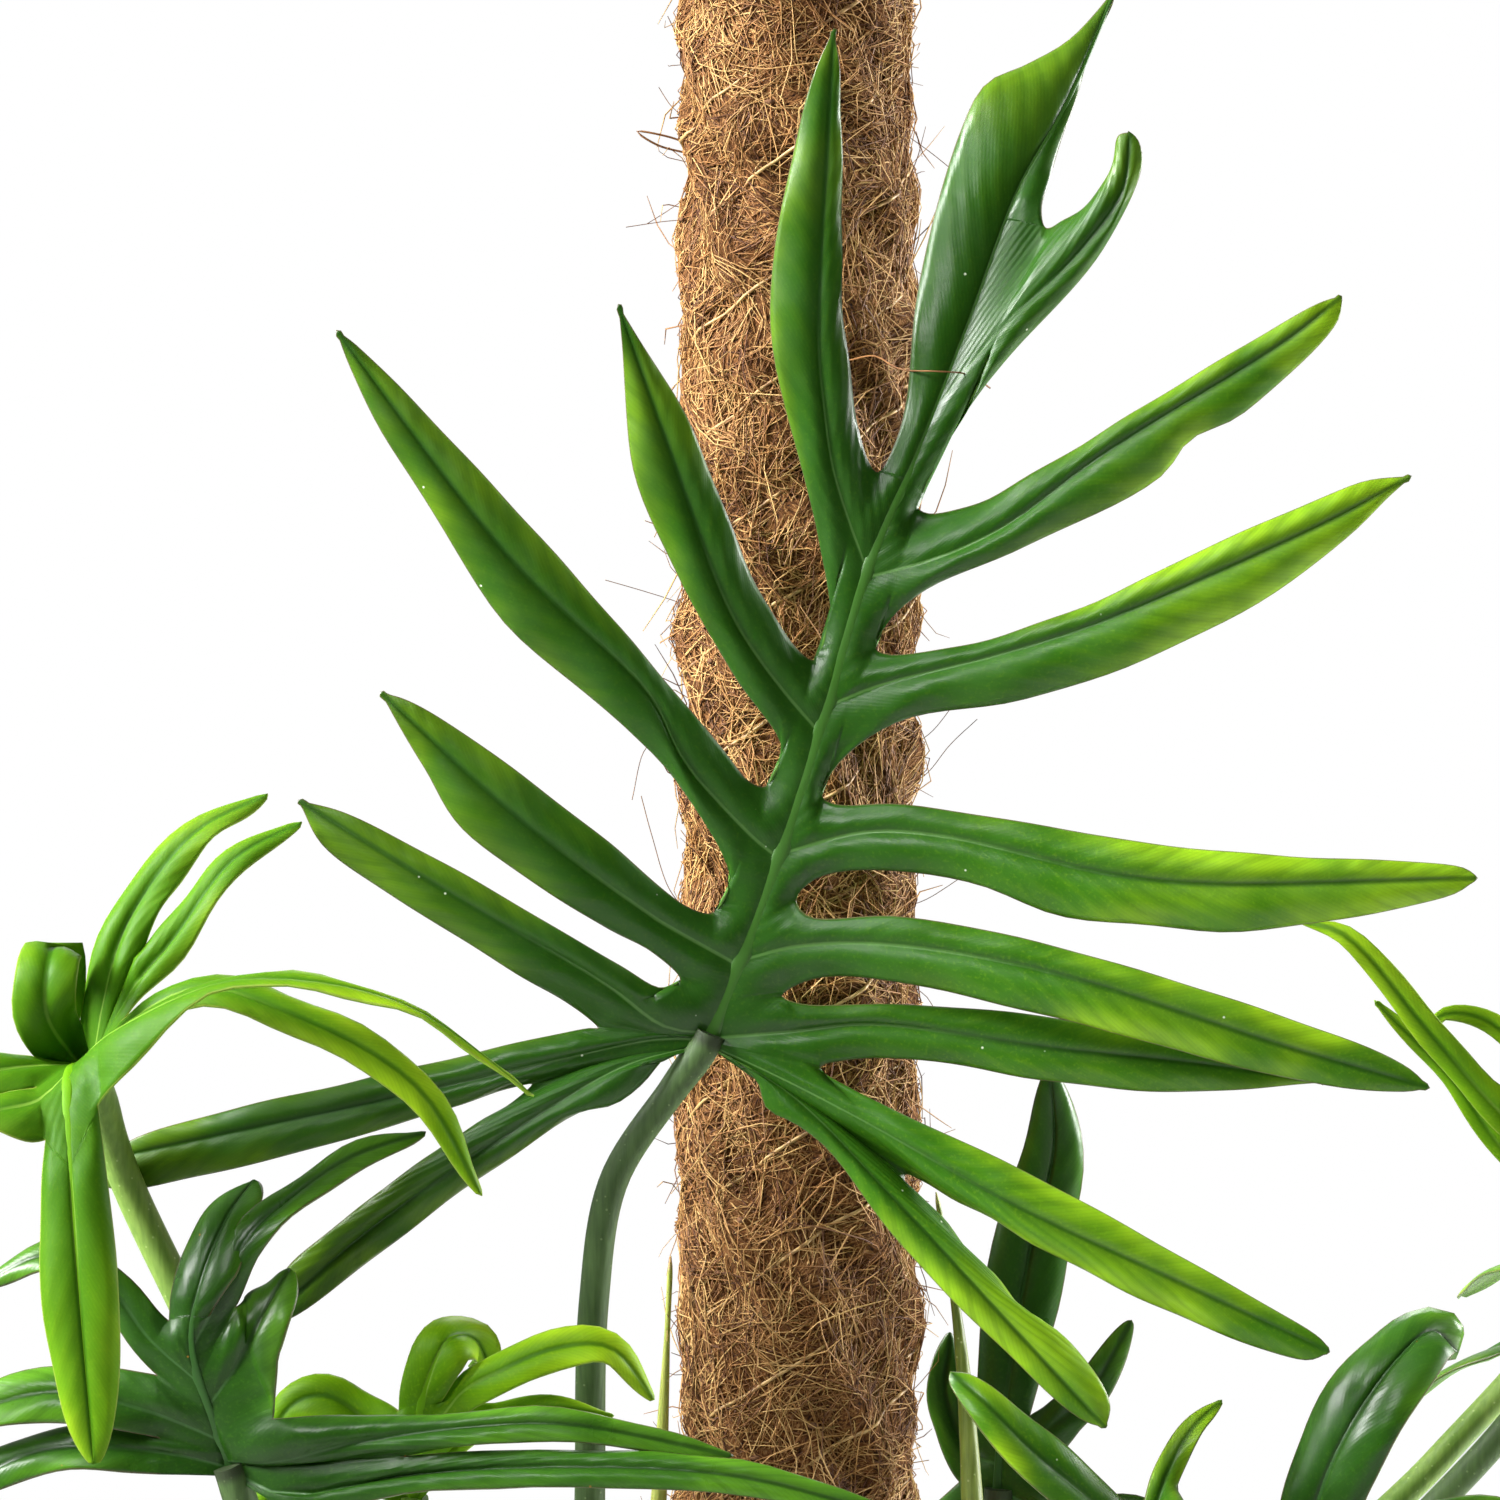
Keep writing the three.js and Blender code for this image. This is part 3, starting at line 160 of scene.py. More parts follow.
class Path:
    """A centripetal curve through points, read by its length fraction.

    A point before the first only sets the direction in which the curve starts.
    """

    PER_SPAN = 40

    def __init__(self, points: Array, before: Array | None = None) -> None:
        points = np.asarray(points, float)
        first = 2 * points[0] - points[1] if before is None else np.asarray(before, float)
        ends = np.vstack([first, points, 2 * points[-1] - points[-2]])
        spans = np.sqrt(np.linalg.norm(np.diff(ends, axis=0), axis=1))
        t = np.linspace(0, 1, self.PER_SPAN, endpoint=False)[:, None]
        run = []
        for i in range(len(points) - 1):
            a, b, c, d = ends[i:i + 4]
            before, here, after = spans[i:i + 3]
            start = ((b - a) / before - (c - a) / (before + here) + (c - b) / here) * here
            stop = ((c - b) / here - (d - b) / (here + after) + (d - c) / after) * here
            run.append(b + start * t + (3 * (c - b) - 2 * start - stop) * t**2
                       + (2 * (b - c) + start + stop) * t**3)
        self.run = np.vstack([*run, points[-1:]])
        steps = np.linalg.norm(np.diff(self.run, axis=0), axis=1)
        self.marks = np.concatenate([[0], np.cumsum(steps)])
        self.length = float(self.marks[-1])

    def at(self, fraction: Array | float) -> Array:
        """The points at length fractions."""
        where = np.clip(np.asarray(fraction, float), 0, 1) * self.length
        return np.stack([np.interp(where, self.marks, axis) for axis in self.run.T], -1)

    def tangent(self, fraction: Array | float) -> Array:
        """The unit directions of the curve at length fractions."""
        step = 1e-3
        fraction = np.clip(np.asarray(fraction, float), 0, 1)
        along = self.at(fraction + step) - self.at(fraction - step)
        return along / np.linalg.norm(along, axis=-1, keepdims=True)

    def nearest(self, point: Array) -> float:
        """The length fraction at which the curve passes closest to a point."""
        fractions = np.linspace(0, 1, 201)
        return float(fractions[np.argmin(np.linalg.norm(self.at(fractions) - point, axis=1))])


def polygons(faces: Array) -> list[tuple[int, ...]]:
    """Faces without repeated corners, and without those that have shrunk to an edge."""
    cleaned = (tuple(dict.fromkeys(face)) for face in faces.tolist())
    return [face for face in cleaned if len(face) > 2]


def mesh_of(name: str, points: Array, faces: Array | list) -> Mesh:
    """Makes a smooth mesh.

    Args:
        name: The mesh's name.
        points: Vertices in mm.
        faces: Rows of vertex numbers to be cleaned, or a list of finished faces.

    Returns:
        The mesh, in metres.
    """
    mesh = bpy.data.meshes.new(name)
    mesh.from_pydata((points * MM).tolist(), [], faces if isinstance(faces, list) else polygons(faces))
    mesh.shade_smooth()
    mesh.update()
    return mesh


def note(mesh: Mesh, name: str, values: Array) -> None:
    """Stores one value, or one row of three, for each vertex as a named attribute."""
    vector = values.ndim == 2
    made = mesh.attributes.new(name, "FLOAT_VECTOR" if vector else "FLOAT", "POINT")
    made.data.foreach_set("vector" if vector else "value", values.astype(np.float32).ravel())


def welded(points: Array, steps: int) -> tuple[Array, Array]:
    """Finds the points that coincide.

    Args:
        points: Points in mm.
        steps: How many steps of one mm are told apart.

    Returns:
        Which points stay, and the number that each point then has.
    """
    cells = np.round(points * steps).astype(int)
    _, first, number = np.unique(cells, axis=0, return_index=True, return_inverse=True)
    return first, number.ravel()


def lathe(profile: list[Point], sides: int) -> tuple[Array, Array]:
    """Turns a closed profile of (radius, height) round the Z axis.

    Args:
        profile: Points that run from the axis or a bore, outwards and up, with the solid on the left.
        sides: How many points a ring has.

    Returns:
        The vertices, one alone where the profile meets the axis, and faces of four corners.
    """
    turn = np.linspace(0, 2 * math.pi, sides, endpoint=False)
    points = np.vstack([np.stack([r * np.cos(turn), r * np.sin(turn), np.full(sides, z)], -1)
                        for r, z in profile])
    here, beside = np.arange(sides), np.roll(np.arange(sides), -1)
    faces = [np.stack([a * sides + here, a * sides + beside, b * sides + beside, b * sides + here], -1)
             for a, b in zip(range(len(profile)), [*range(1, len(profile)), 0], strict=True)]
    first, number = welded(points, 1000)
    return points[first], number[np.vstack(faces)]


def placed(name: str, data: bpy.types.ID) -> bpy.types.Object:
    """Makes an object, and links it to the scene."""
    made = bpy.data.objects.new(name, data)
    bpy.context.scene.collection.objects.link(made)
    return made


def show(name: str, mesh: Mesh, slot: str, replaces: tuple[str, ...] = (),
         material: Material | None = None) -> bpy.types.Object:
    """Puts a finished mesh into the scene as a piece of the plant.

    Args:
        name: The piece's name.
        mesh: Its mesh, in place, in metres.
        slot: The record's material slot.
        replaces: The CAD nodes that it stands for.
        material: Its material, where the mesh has none yet.

    Returns:
        The piece.
    """
    if material is not None:
        mesh.materials.clear()
        mesh.materials.append(material)
    piece = placed(name, mesh)
    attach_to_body(piece, BODY)
    if replaces:
        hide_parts(*replaces)
    triangles = sum(len(p.vertices) - 2 for p in mesh.polygons)
    LOG.info("%-24s %7d triangles, %s", name, triangles, slot)
    return piece


class Recipe:
    """A Geometry Nodes tree with named inputs that ends in Realize Instances and Set Material."""

    def __init__(self, name: str, inputs: dict[str, str]) -> None:
        self.tree = bpy.data.node_groups.new(name, "GeometryNodeTree")
        face = self.tree.interface
        face.new_socket("Geometry", in_out="INPUT", socket_type="NodeSocketGeometry")
        self.keys = {}
        for label, kind in {**inputs, "Material": "Material"}.items():
            made = face.new_socket(label, in_out="INPUT", socket_type=f"NodeSocket{kind}")
            self.keys[label] = made.identifier
        face.new_socket("Geometry", in_out="OUTPUT", socket_type="NodeSocketGeometry")
        self.node = partial(add, self.tree)
        self.start = self.node("NodeGroupInput")

    def close(self, geometry: Socket) -> None:
        """Ends the tree with this geometry."""
        whole = self.node("GeometryNodeRealizeInstances", (geometry,))[0]
        smooth = self.node("GeometryNodeSetShadeSmooth", (whole,))[0]
        dressed = {"Geometry": smooth, "Material": self.start["Material"]}
        self.node("NodeGroupOutput", (self.node("GeometryNodeSetMaterial", dressed)[0],))

    def grow(self, name: str, seedling: Mesh, values: dict[str, Value]) -> Mesh:
        """Runs the tree on a mesh.

        Args:
            name: The name of the result.
            seedling: The mesh that the tree starts from.
            values: What its inputs are set to, by their names.

        Returns:
            The result as a plain mesh.
        """
        carrier = placed(name, seedling)
        modifier = carrier.modifiers.new(name, "NODES")
        modifier.node_group = self.tree
        for label, value in values.items():
            modifier[self.keys[label]] = value
        graph = bpy.context.evaluated_depsgraph_get()
        grown = bpy.data.meshes.new_from_object(
            carrier.evaluated_get(graph), preserve_all_data_layers=True, depsgraph=graph)
        grown.name = name
        carrier.modifiers.remove(modifier)
        bpy.data.objects.remove(carrier)
        return grown


def sweep_recipe() -> Recipe:
    """A round stem along a line of points, whose attribute girth is its radius in metres."""
    recipe = Recipe("swept_stem", {"Step": "Float", "Sides": "Int"})
    start, node = recipe.start, recipe.node
    line = node("GeometryNodeMeshToCurve", (start["Geometry"],))[0]
    even = node("GeometryNodeResampleCurve", {"Curve": line, "Length": start["Step"]}, mode="LENGTH")[0]
    ring = node("GeometryNodeCurvePrimitiveCircle", {"Resolution": start["Sides"], "Radius": 1.0})[0]
    girth = node("GeometryNodeInputNamedAttribute", {"Name": "girth"}, data_type="FLOAT")[0]
    recipe.close(node("GeometryNodeCurveToMesh", {
        "Curve": even, "Profile Curve": ring, "Scale": girth, "Fill Caps": True})[0])
    return recipe


SWEEP = sweep_recipe()


def swept(name: str, paths: list[Path], girth: Reader, material: Material, step: float = 3.0,
          sides: int = 14) -> Mesh:
    """Sweeps a round section along paths.

    Args:
        name: The mesh's name.
        paths: The centre lines, in mm.
        girth: The radius in mm for each distance in mm from the start.
        material: What it is dressed in.
        step: The distance between rings, in mm.
        sides: How many corners a ring has.

    Returns:
        The mesh, whose attribute to_end is the distance in mm to the path's end.
    """
    counts = [max(4, int(path.length / 2)) for path in paths]
    starts = np.cumsum([0, *counts])
    fractions = [np.linspace(0, 1, count) for count in counts]
    along = [part * path.length for part, path in zip(fractions, paths, strict=True)]
    points = np.vstack([path.at(part) for part, path in zip(fractions, paths, strict=True)])
    line = bpy.data.meshes.new(name)
    line.from_pydata((points * MM).tolist(), [
        (i, i + 1) for start, count in zip(starts, counts, strict=False)
        for i in range(start, start + count - 1)], [])
    note(line, "girth", np.concatenate([girth(part) for part in along]) * MM)
    note(line, "to_end", np.concatenate([part[-1] - part for part in along]))
    return SWEEP.grow(name, line, {"Step": step * MM, "Sides": sides, "Material": material})


@dataclass(frozen=True)
class OutlinedLobe:
    """A lobe of the big leaf by its outlines in the front view, in mm from the leaf's corner."""

    rise: float
    lift: float
    rib: list[Point]
    plus: list[Point]
    minus: list[Point]


@dataclass(frozen=True)
class RibbonLobe:
    """A lobe that follows a rib: where it leaves the midrib, its greatest half-width, and the rib."""

    at: float
    width: float
    rib: list[Point] | Array
    necks: tuple[float, float] = (0.2, 0.2)
    facing: Point | None = None


@dataclass(frozen=True)
class DrawnLeaf:
    """A leaf by points of the front view: x, height and depth in mm."""

    name: str
    tone: Tone
    stem: str
    radius: float
    facing: Point
    end: tuple[float, float]
    stalk: list[Point]
    rachis: list[Point]
    right: list[RibbonLobe]
    left: list[RibbonLobe]


@dataclass(frozen=True)
class RuledLeaf:
    """A leaf by rule: where it stands, its heading and pitch in degrees, and its size."""

    name: str
    stem: str
    foot: float
    junction: Point
    via: list[Point]
    heading: float
    pitch: float
    size: float
    seed: int


BIG_RACHIS = [(0, 0, -58), (10, 24, -62), (21, 54, -66), (31, 86, -69), (39, 114, -71), (46, 133, -71),
    (52.5, 147, -70), (65.5, 180, -67), (78, 213.5, -62), (88.5, 232.5, -58), (102.5, 264, -48)]
BIG_STALK = [(-30, -246, -34), (-29, -170, -40), (-29, -109, -44), (-28, -64, -49), (-23, -34, -52),
    (-8, -11, -55), (0, 0, -58)]
BIG_END = {
    "left": [(43, 143), (47.5, 151), (50, 161), (53, 189), (63.5, 228), (70, 240), (80, 245), (91, 251)],
    "right": [(85, 204), (84, 209), (86, 216), (91, 233), (98, 252.5)],
}
BIG_LOBES = {
    "right": [
        OutlinedLobe(rise=6, lift=5, rib=[(0, -1), (21, -12.5), (46, -37.5), (76, -70), (100, -96)],
            plus=[(50, -32.5), (50, -35.5), (57.5, -42.5), (81, -67.5), (92.5, -76), (101, -90)],
            minus=[(4, -2), (12.5, -9), (15, -16), (22.5, -20), (30, -26), (49, -50.5), (76, -78),
                (94, -94)]),
        OutlinedLobe(rise=8, lift=9, rib=[(1, 0), (14, -6), (39, -19), (77.5, -40.5), (116, -58.5),
            (156, -77)],
            plus=[(28.5, -6), (36, -11), (81, -32.5), (129, -59), (154, -74)],
            minus=[(50, -32.5), (54, -34), (84, -51), (116, -67), (150, -79)]),
        OutlinedLobe(rise=3, lift=1, rib=[(2, 1), (21, 3), (41, 5), (86, -1), (124, -5), (155, -9.5)],
            plus=[(19, 12), (24, 10), (47.5, 10), (87.5, 6.5), (136, -4)],
            minus=[(28.5, -6), (36, -4), (54, -4), (84, -9), (116, -12), (144, -10.5)]),
        OutlinedLobe(rise=12, lift=8, rib=[(11, 21), (24, 24.5), (44, 25), (84, 18.5), (146, -1), (181, -11)],
            plus=[(22.5, 36), (25.5, 32), (47.5, 32), (81, 26), (144, 7), (175, -5.5)],
            minus=[(19, 12), (26, 16), (41, 16.5), (87.5, 6.5), (147.5, -9), (174, -12)]),
        OutlinedLobe(rise=10, lift=11, rib=[(19, 48), (40, 53), (59, 52), (101, 42.5), (126, 40), (176, 41),
            (193, 41.5)],
            plus=[(29, 62), (32.5, 60), (48, 60), (82, 55), (112, 50), (145, 47), (189.5, 44)],
            minus=[(22.5, 36), (27, 41), (39, 43.5), (67.5, 40), (88, 32), (108, 30), (129, 28), (154, 30.5),
                (187, 37.5)]),
        OutlinedLobe(rise=8, lift=7, rib=[(33, 85), (45, 90), (72, 97), (97, 105), (130, 119), (157, 131.5),
            (176.5, 142)],
            plus=[(42.5, 99), (45, 97.5), (66, 100), (96, 110), (125, 124), (155, 137), (166, 141)],
            minus=[(29, 62), (33, 70), (48, 80.5), (79, 86), (107, 95), (142.5, 113), (160.5, 127),
                (171, 137)]),
        OutlinedLobe(rise=6, lift=5, rib=[(41, 116), (57, 121), (74, 129), (99, 147.5), (145, 176),
            (159, 187)],
            plus=[(53, 134), (56, 132.5), (68.5, 135.5), (92.5, 149), (118.5, 165), (154, 185.5)],
            minus=[(42.5, 99), (46, 106), (55, 113.5), (79, 124), (114, 142), (121, 151), (134, 157.5),
                (158, 181)]),
        OutlinedLobe(rise=3, lift=4, rib=[(56, 158), (75, 180), (93, 198), (104, 213.5), (106, 228)],
            plus=[(85, 204), (89.5, 205.5), (96, 211), (101, 217.5), (103, 227)],
            minus=[(53, 134), (53, 137), (57.5, 147.5), (76, 172), (99.5, 199), (109, 219.5), (108, 226)]),
    ],
    "left": [
        OutlinedLobe(rise=6, lift=-16, rib=[(0, 0), (-19, -5), (-39.5, -16), (-85, -47), (-113, -72)],
            plus=[(-43.5, -10), (-49, -15), (-66, -25.5), (-97, -49), (-106, -57.5)],
            minus=[(-2.5, -1), (-9, -2.5), (-16, -10), (-23, -15), (-31, -17), (-63.5, -38.5), (-103, -68)]),
        OutlinedLobe(rise=4, lift=-16, rib=[(0, 1), (-13.5, 1), (-37, -4), (-85, -15), (-155, -30)],
            plus=[(-27, 4), (-29, 4), (-37, 2.5), (-80, -7.5), (-138.5, -22)],
            minus=[(-43.5, -10), (-49, -11), (-80, -21), (-126.5, -33), (-149, -36)]),
        OutlinedLobe(rise=8, lift=10, rib=[(1, 2), (-10, 4), (-25, 15), (-62, 36.5), (-102, 61)],
            plus=[(-6.5, 16), (-11, 14), (-22, 20), (-66, 45.5), (-91, 58)],
            minus=[(-27, 4), (-30, 7), (-47, 17.5), (-68, 30.5), (-95.5, 49.5)]),
        OutlinedLobe(rise=8, lift=11, rib=[(2, 22), (-13.5, 32), (-45.5, 55.5), (-81.5, 88)],
            plus=[(2, 33), (-4, 34), (-25, 51), (-61, 78), (-75, 86)],
            minus=[(-6.5, 16), (-13.5, 23), (-25, 29), (-61, 54), (-70.5, 69), (-78, 82)]),
        OutlinedLobe(rise=8, lift=13, rib=[(14, 48.5), (8, 54), (-6, 71.5), (-14.5, 88), (-48, 120.5),
            (-92.5, 178.5)],
            plus=[(15, 64.5), (11, 65.5), (4, 74), (-38.5, 123.5), (-86.5, 174)],
            minus=[(2, 33), (6, 41), (-7, 65), (-20, 79), (-51, 106), (-67, 131), (-81, 153), (-89, 169)]),
        OutlinedLobe(rise=5, lift=12, rib=[(26, 80), (17, 91), (6, 108), (-8, 145.5), (-22, 185)],
            plus=[(27, 96), (23.5, 98), (13.5, 113), (-6, 159), (-18, 178)],
            minus=[(15, 64.5), (19, 73.5), (7, 92), (-7, 117), (-18, 143), (-21, 176)]),
        OutlinedLobe(rise=3, lift=13, rib=[(40.5, 118.5), (32, 142.5), (29, 163), (28, 176), (32, 254)],
            plus=[(43, 143), (40, 147), (34, 186), (34, 204), (33.5, 241)],
            minus=[(27, 96), (31, 101), (28, 127), (16, 181), (22.5, 226), (27, 242.5)]),
    ],
}
DRAWN_LEAVES = [
    DrawnLeaf(
        name="young_left", tone=Tone.YOUNG, stem="left", radius=4,
        facing=(-0.15, -0.75, 0.6), end=(0.42, 9.5),
        stalk=[(-44, 325, -8), (-82, 396, -2), (-118, 520, -30), (-146, 593, -46), (-168, 640, -50),
            (-176, 664, -62)],
        rachis=[(-176, 664, -62), (-180, 669, -76), (-182.5, 665, -90), (-182, 647, -98),
            (-179.5, 610, -101), (-176, 569, -97)],
        right=[
            RibbonLobe(0.04, 7.5, [(-188, 682, -86), (-187.5, 694, -86), (-186, 698, -78), (-184, 688, -68),
                (-184, 672, -66)], facing=(0, -0.9, 0.3)),
            RibbonLobe(0.12, 7, [(-196, 668, -84), (-214, 664, -86), (-236, 650, -80)]),
            RibbonLobe(0.2, 5, [(-190, 660, -92), (-206, 655, -94), (-222, 632, -90)]),
        ],
        left=[
            RibbonLobe(0.03, 6, [(-173, 688, -70), (-167.5, 704.5, -70), (-151.5, 726, -68),
                (-132.5, 736.5, -66)], necks=(0.16, 0.42)),
            RibbonLobe(0.05, 5, [(-166, 688, -74), (-157, 699, -75), (-141, 720, -74), (-124, 729.5, -71)],
                necks=(0.42, 0.2)),
            RibbonLobe(0.1, 5.5, [(-168, 679, -80), (-150, 688, -86), (-128, 682, -90), (-96, 664, -92),
                (-79, 636, -88)], necks=(0.12, 0.12), facing=(0.1, -0.8, 0.6)),
            RibbonLobe(0.16, 4, [(-170, 678, -94), (-140, 690, -102), (-100, 684.5, -106),
                (-66, 661, -104)], necks=(0.1, 0.1), facing=(-0.1, -0.25, 1)),
        ],
    ),
    DrawnLeaf(
        name="dark_left", tone=Tone.DARK, stem="left", radius=3.8,
        facing=(-0.4, -0.8, 0.42), end=(0.5, 8.5),
        stalk=[(-44, 262, -8), (-74, 356, -52), (-106, 470, -70), (-134, 545, -70), (-141.5, 566, -72)],
        rachis=[(-141.5, 566, -72), (-147, 581, -76), (-152, 600, -80), (-149, 615, -81), (-143, 630, -76),
            (-136, 640, -64)],
        right=[
            RibbonLobe(0.02, 5, [(-128, 561, -78), (-99, 566, -84), (-64, 568, -90), (-16, 566, -94),
                (33, 553, -94)], necks=(0.1, 0.3)),
            RibbonLobe(0.05, 4.5, [(-132, 569, -79), (-112, 574, -84), (-83, 578, -88), (-60, 579, -90),
                (-16, 571, -88)], necks=(0.3, 0.14)),
            RibbonLobe(0.22, 8.5, [(-140, 594, -80), (-134, 606, -81), (-127, 618, -78)], necks=(0.3, 0.6)),
            RibbonLobe(0.4, 5, [(-144, 612, -82), (-138, 625, -82), (-126, 636, -78), (-112, 645.5, -74),
                (-93, 652, -68)], necks=(0.2, 0.12)),
        ],
        left=[
            RibbonLobe(0.03, 6, [(-160, 572, -74), (-190, 572, -72), (-222, 556, -64)]),
            RibbonLobe(0.12, 7.5, [(-162, 582, -76), (-186, 587, -74), (-218, 578, -70)]),
            RibbonLobe(0.3, 5, [(-162, 600, -78), (-172, 613, -75), (-187, 621, -72), (-206, 613, -66)]),
        ],
    ),
    DrawnLeaf(
        name="light_middle", tone=Tone.YOUNG, stem="left", radius=3.4,
        facing=(0.05, -0.8, 0.5), end=(0.42, 7),
        stalk=[(-44, 292, -8), (-62, 380, -36), (-87, 500, -46), (-95, 545, -50), (-96, 558, -54)],
        rachis=[(-96, 558, -54), (-95, 574, -62), (-93, 588, -68), (-87.5, 600, -68), (-81, 600, -60),
            (-76, 590, -52)],
        right=[
            RibbonLobe(0.08, 4, [(-82, 578, -62), (-64, 583, -64), (-46, 581, -62)], necks=(0.2, 0.3)),
            RibbonLobe(0.2, 5.5, [(-84, 587, -68), (-74, 592.5, -70), (-60, 598, -70), (-47, 598, -70),
                (-36, 585, -66)], necks=(0.3, 0.2)),
        ],
        left=[
            RibbonLobe(0.04, 5, [(-108, 566, -56), (-124, 566, -56), (-140, 552, -50)]),
            RibbonLobe(0.16, 6, [(-108, 580, -60), (-118, 586, -60), (-126, 584, -58), (-134, 572, -54)]),
        ],
    ),
    DrawnLeaf(
        name="dark_behind", tone=Tone.DARK, stem="back", radius=3.6,
        facing=(0.1, -1, 0.1), end=(0.22, 10),
        stalk=[(8, 322, 46), (16, 400, 63), (38, 500, 58), (51, 548, 40), (50, 560, 37)],
        rachis=[(50, 560, 37), (52, 585, 34), (58, 622, 34), (64, 648, 31), (63, 668, 25)],
        right=[
            RibbonLobe(0.02, 5, [(66, 556, 34), (86, 556, 30), (104, 544, 28)]),
            RibbonLobe(0.1, 5, [(58, 575, 31), (72, 586, 26), (83.5, 605, 21)]),
        ],
        left=[
            RibbonLobe(0.03, 5, [(40, 556, 44), (28, 548, 54), (16, 530, 60)]),
            RibbonLobe(0.08, 5, [(43, 572, 40), (37, 586, 40), (38, 602, 41)]),
        ],
    ),
    DrawnLeaf(
        name="front_right", tone=Tone.GREEN, stem="right", radius=3.6,
        facing=(0.1, -0.8, 0.6), end=(0.6, 9),
        stalk=[(39, 300, -24), (52, 390, -52), (74, 490, -62), (84, 535, -62), (86, 546, -64)],
        rachis=[(86, 546, -64), (90, 545, -80), (96, 528, -96), (99, 500, -104), (98, 462, -106),
            (92, 428, -100)],
        right=[
            RibbonLobe(0.02, 7, [(73, 560, -72), (58, 573, -77), (47, 584, -77), (38, 592, -72)],
                necks=(0.14, 0.14), facing=(-0.1, -0.8, 0.6)),
            RibbonLobe(0.16, 6, [(70, 540, -92), (48, 520, -104), (30, 486, -106)]),
            RibbonLobe(0.36, 6, [(74, 500, -112), (58, 468, -114), (48, 436, -108)]),
        ],
        left=[
            RibbonLobe(0.03, 3.5, [(92, 566, -58), (98, 577, -54), (106, 585, -50)]),
            RibbonLobe(0.16, 6, [(112, 545, -88), (134, 528, -92), (152, 496, -90)]),
            RibbonLobe(0.36, 6, [(122, 502, -108), (138, 472, -110), (146, 440, -104)]),
        ],
    ),
    DrawnLeaf(
        name="dark_right", tone=Tone.DARK, stem="right", radius=3.6,
        facing=(-0.35, -0.8, 0.4), end=(0.16, 12),
        stalk=[(39, 330, -24), (66, 410, -38), (104, 490, -42), (122, 530, -40), (126, 541, -42)],
        rachis=[(126, 541, -42), (130, 560, -47), (138, 578, -51), (149, 594, -50), (158, 602, -44),
            (165, 597, -34)],
        right=[
            RibbonLobe(0.02, 6, [(144, 536, -44), (168, 532, -38), (192, 512, -30)]),
            RibbonLobe(0.08, 6, [(148, 552, -44), (172, 556, -36), (196, 544, -26)]),
        ],
        left=[
            RibbonLobe(0.02, 6, [(112, 528, -50), (104, 506, -52), (104, 478, -48)]),
            RibbonLobe(0.07, 4, [(116, 547, -54), (108, 554, -64), (104, 548, -72)]),
        ],
    ),
    DrawnLeaf(
        name="young_right", tone=Tone.YOUNG, stem="right", radius=3.4,
        facing=(-0.5, -0.75, 0.3), end=(0.7, 7),
        stalk=[(39, 385, -24), (78, 460, -28), (120, 530, -24), (160, 570, -18), (190, 606, -12),
            (194, 626, -12)],
        rachis=[(194, 626, -12), (201, 652, -12), (212, 690, -8), (222, 735, 2), (228, 776, 18)],
        right=[
            RibbonLobe(0.04, 6, [(214, 624, -14), (238, 624, -16), (262, 606, -10)]),
            RibbonLobe(0.24, 6, [(226, 668, -12), (252, 678, -14), (280, 664, -8)]),
            RibbonLobe(0.44, 6, [(236, 706, -6), (262, 724, -8), (286, 716, 0)]),
        ],
        left=[
            RibbonLobe(0.02, 3, [(176, 648, -14), (163, 666, -16), (144, 685, -20)]),
            RibbonLobe(0.08, 4, [(175.5, 657, -18), (158, 677, -22), (137, 701, -26), (125, 705, -22)],
                necks=(0.12, 0.12)),
            RibbonLobe(0.2, 3, [(186, 668, -14), (172, 680, -12), (161, 681, -14), (158, 676, -18)]),
            RibbonLobe(0.42, 6, [(198, 704, -14), (182, 730, -20), (180, 760, -16)]),
        ],
    ),
]
RULED_LEAVES = [
    RuledLeaf(
        name="right_back", stem="back", foot=282, junction=(196, 64, 596),
        via=[(46, 68, 362), (120, 80, 500)],
        heading=20, pitch=40, size=0.85, seed=3,
    ),
    RuledLeaf(
        name="back", stem="back", foot=250, junction=(-56, 150, 500),
        via=[(-8, 78, 330), (-34, 118, 440)],
        heading=112, pitch=30, size=1, seed=11,
    ),
    RuledLeaf(
        name="low_front", stem="left", foot=230, junction=(-82, -132, 402),
        via=[(-50, -50, 286), (-64, -96, 360)],
        heading=245, pitch=12, size=0.9, seed=23,
    ),
    RuledLeaf(
        name="low_right", stem="right", foot=240, junction=(152, -66, 432),
        via=[(62, -36, 300), (112, -54, 390)],
        heading=338, pitch=16, size=0.9, seed=31,
    ),
    RuledLeaf(
        name="left_back", stem="left", foot=205, junction=(-150, 76, 452),
        via=[(-66, 8, 256), (-118, 48, 380)],
        heading=150, pitch=28, size=0.95, seed=47,
    ),
]
NEW_LEAVES = {
    "left": [(-43, 480, -12), (-35, 558, -15), (-33.5, 585, -15), (-31.8, 621, -15)],
    "right": [(44, 500, -20), (43.5, 560, -16), (40, 604, -14), (34.5, 637, -12)],
}


def unit(vectors: Array) -> Array:
    """The same vectors at length 1."""
    return vectors / np.maximum(np.linalg.norm(vectors, axis=-1, keepdims=True), 1e-9)


def scatter(seed: int) -> Draw:
    """A fixed source of numbers from -1 to 1."""
    state = seed

    def draw() -> float:
        """The next number."""
        nonlocal state
        state = (state * 1664525 + 1013904223) % 2**32
        return state / 2**32 * 2 - 1

    return draw


@dataclass(frozen=True)
class Lobe:
    """A lobe in space: its rib and both its margins, read by length fractions."""

    attach: float
    neck: float
    length: float
    rib: Reader
    minus: Reader
    plus: Reader


@dataclass(frozen=True)
class Half:
    """One side of a blade: its lobes from the base up, and the margin of the end lobe."""

    lobes: list[Lobe]
    end_from: float
    end: Reader


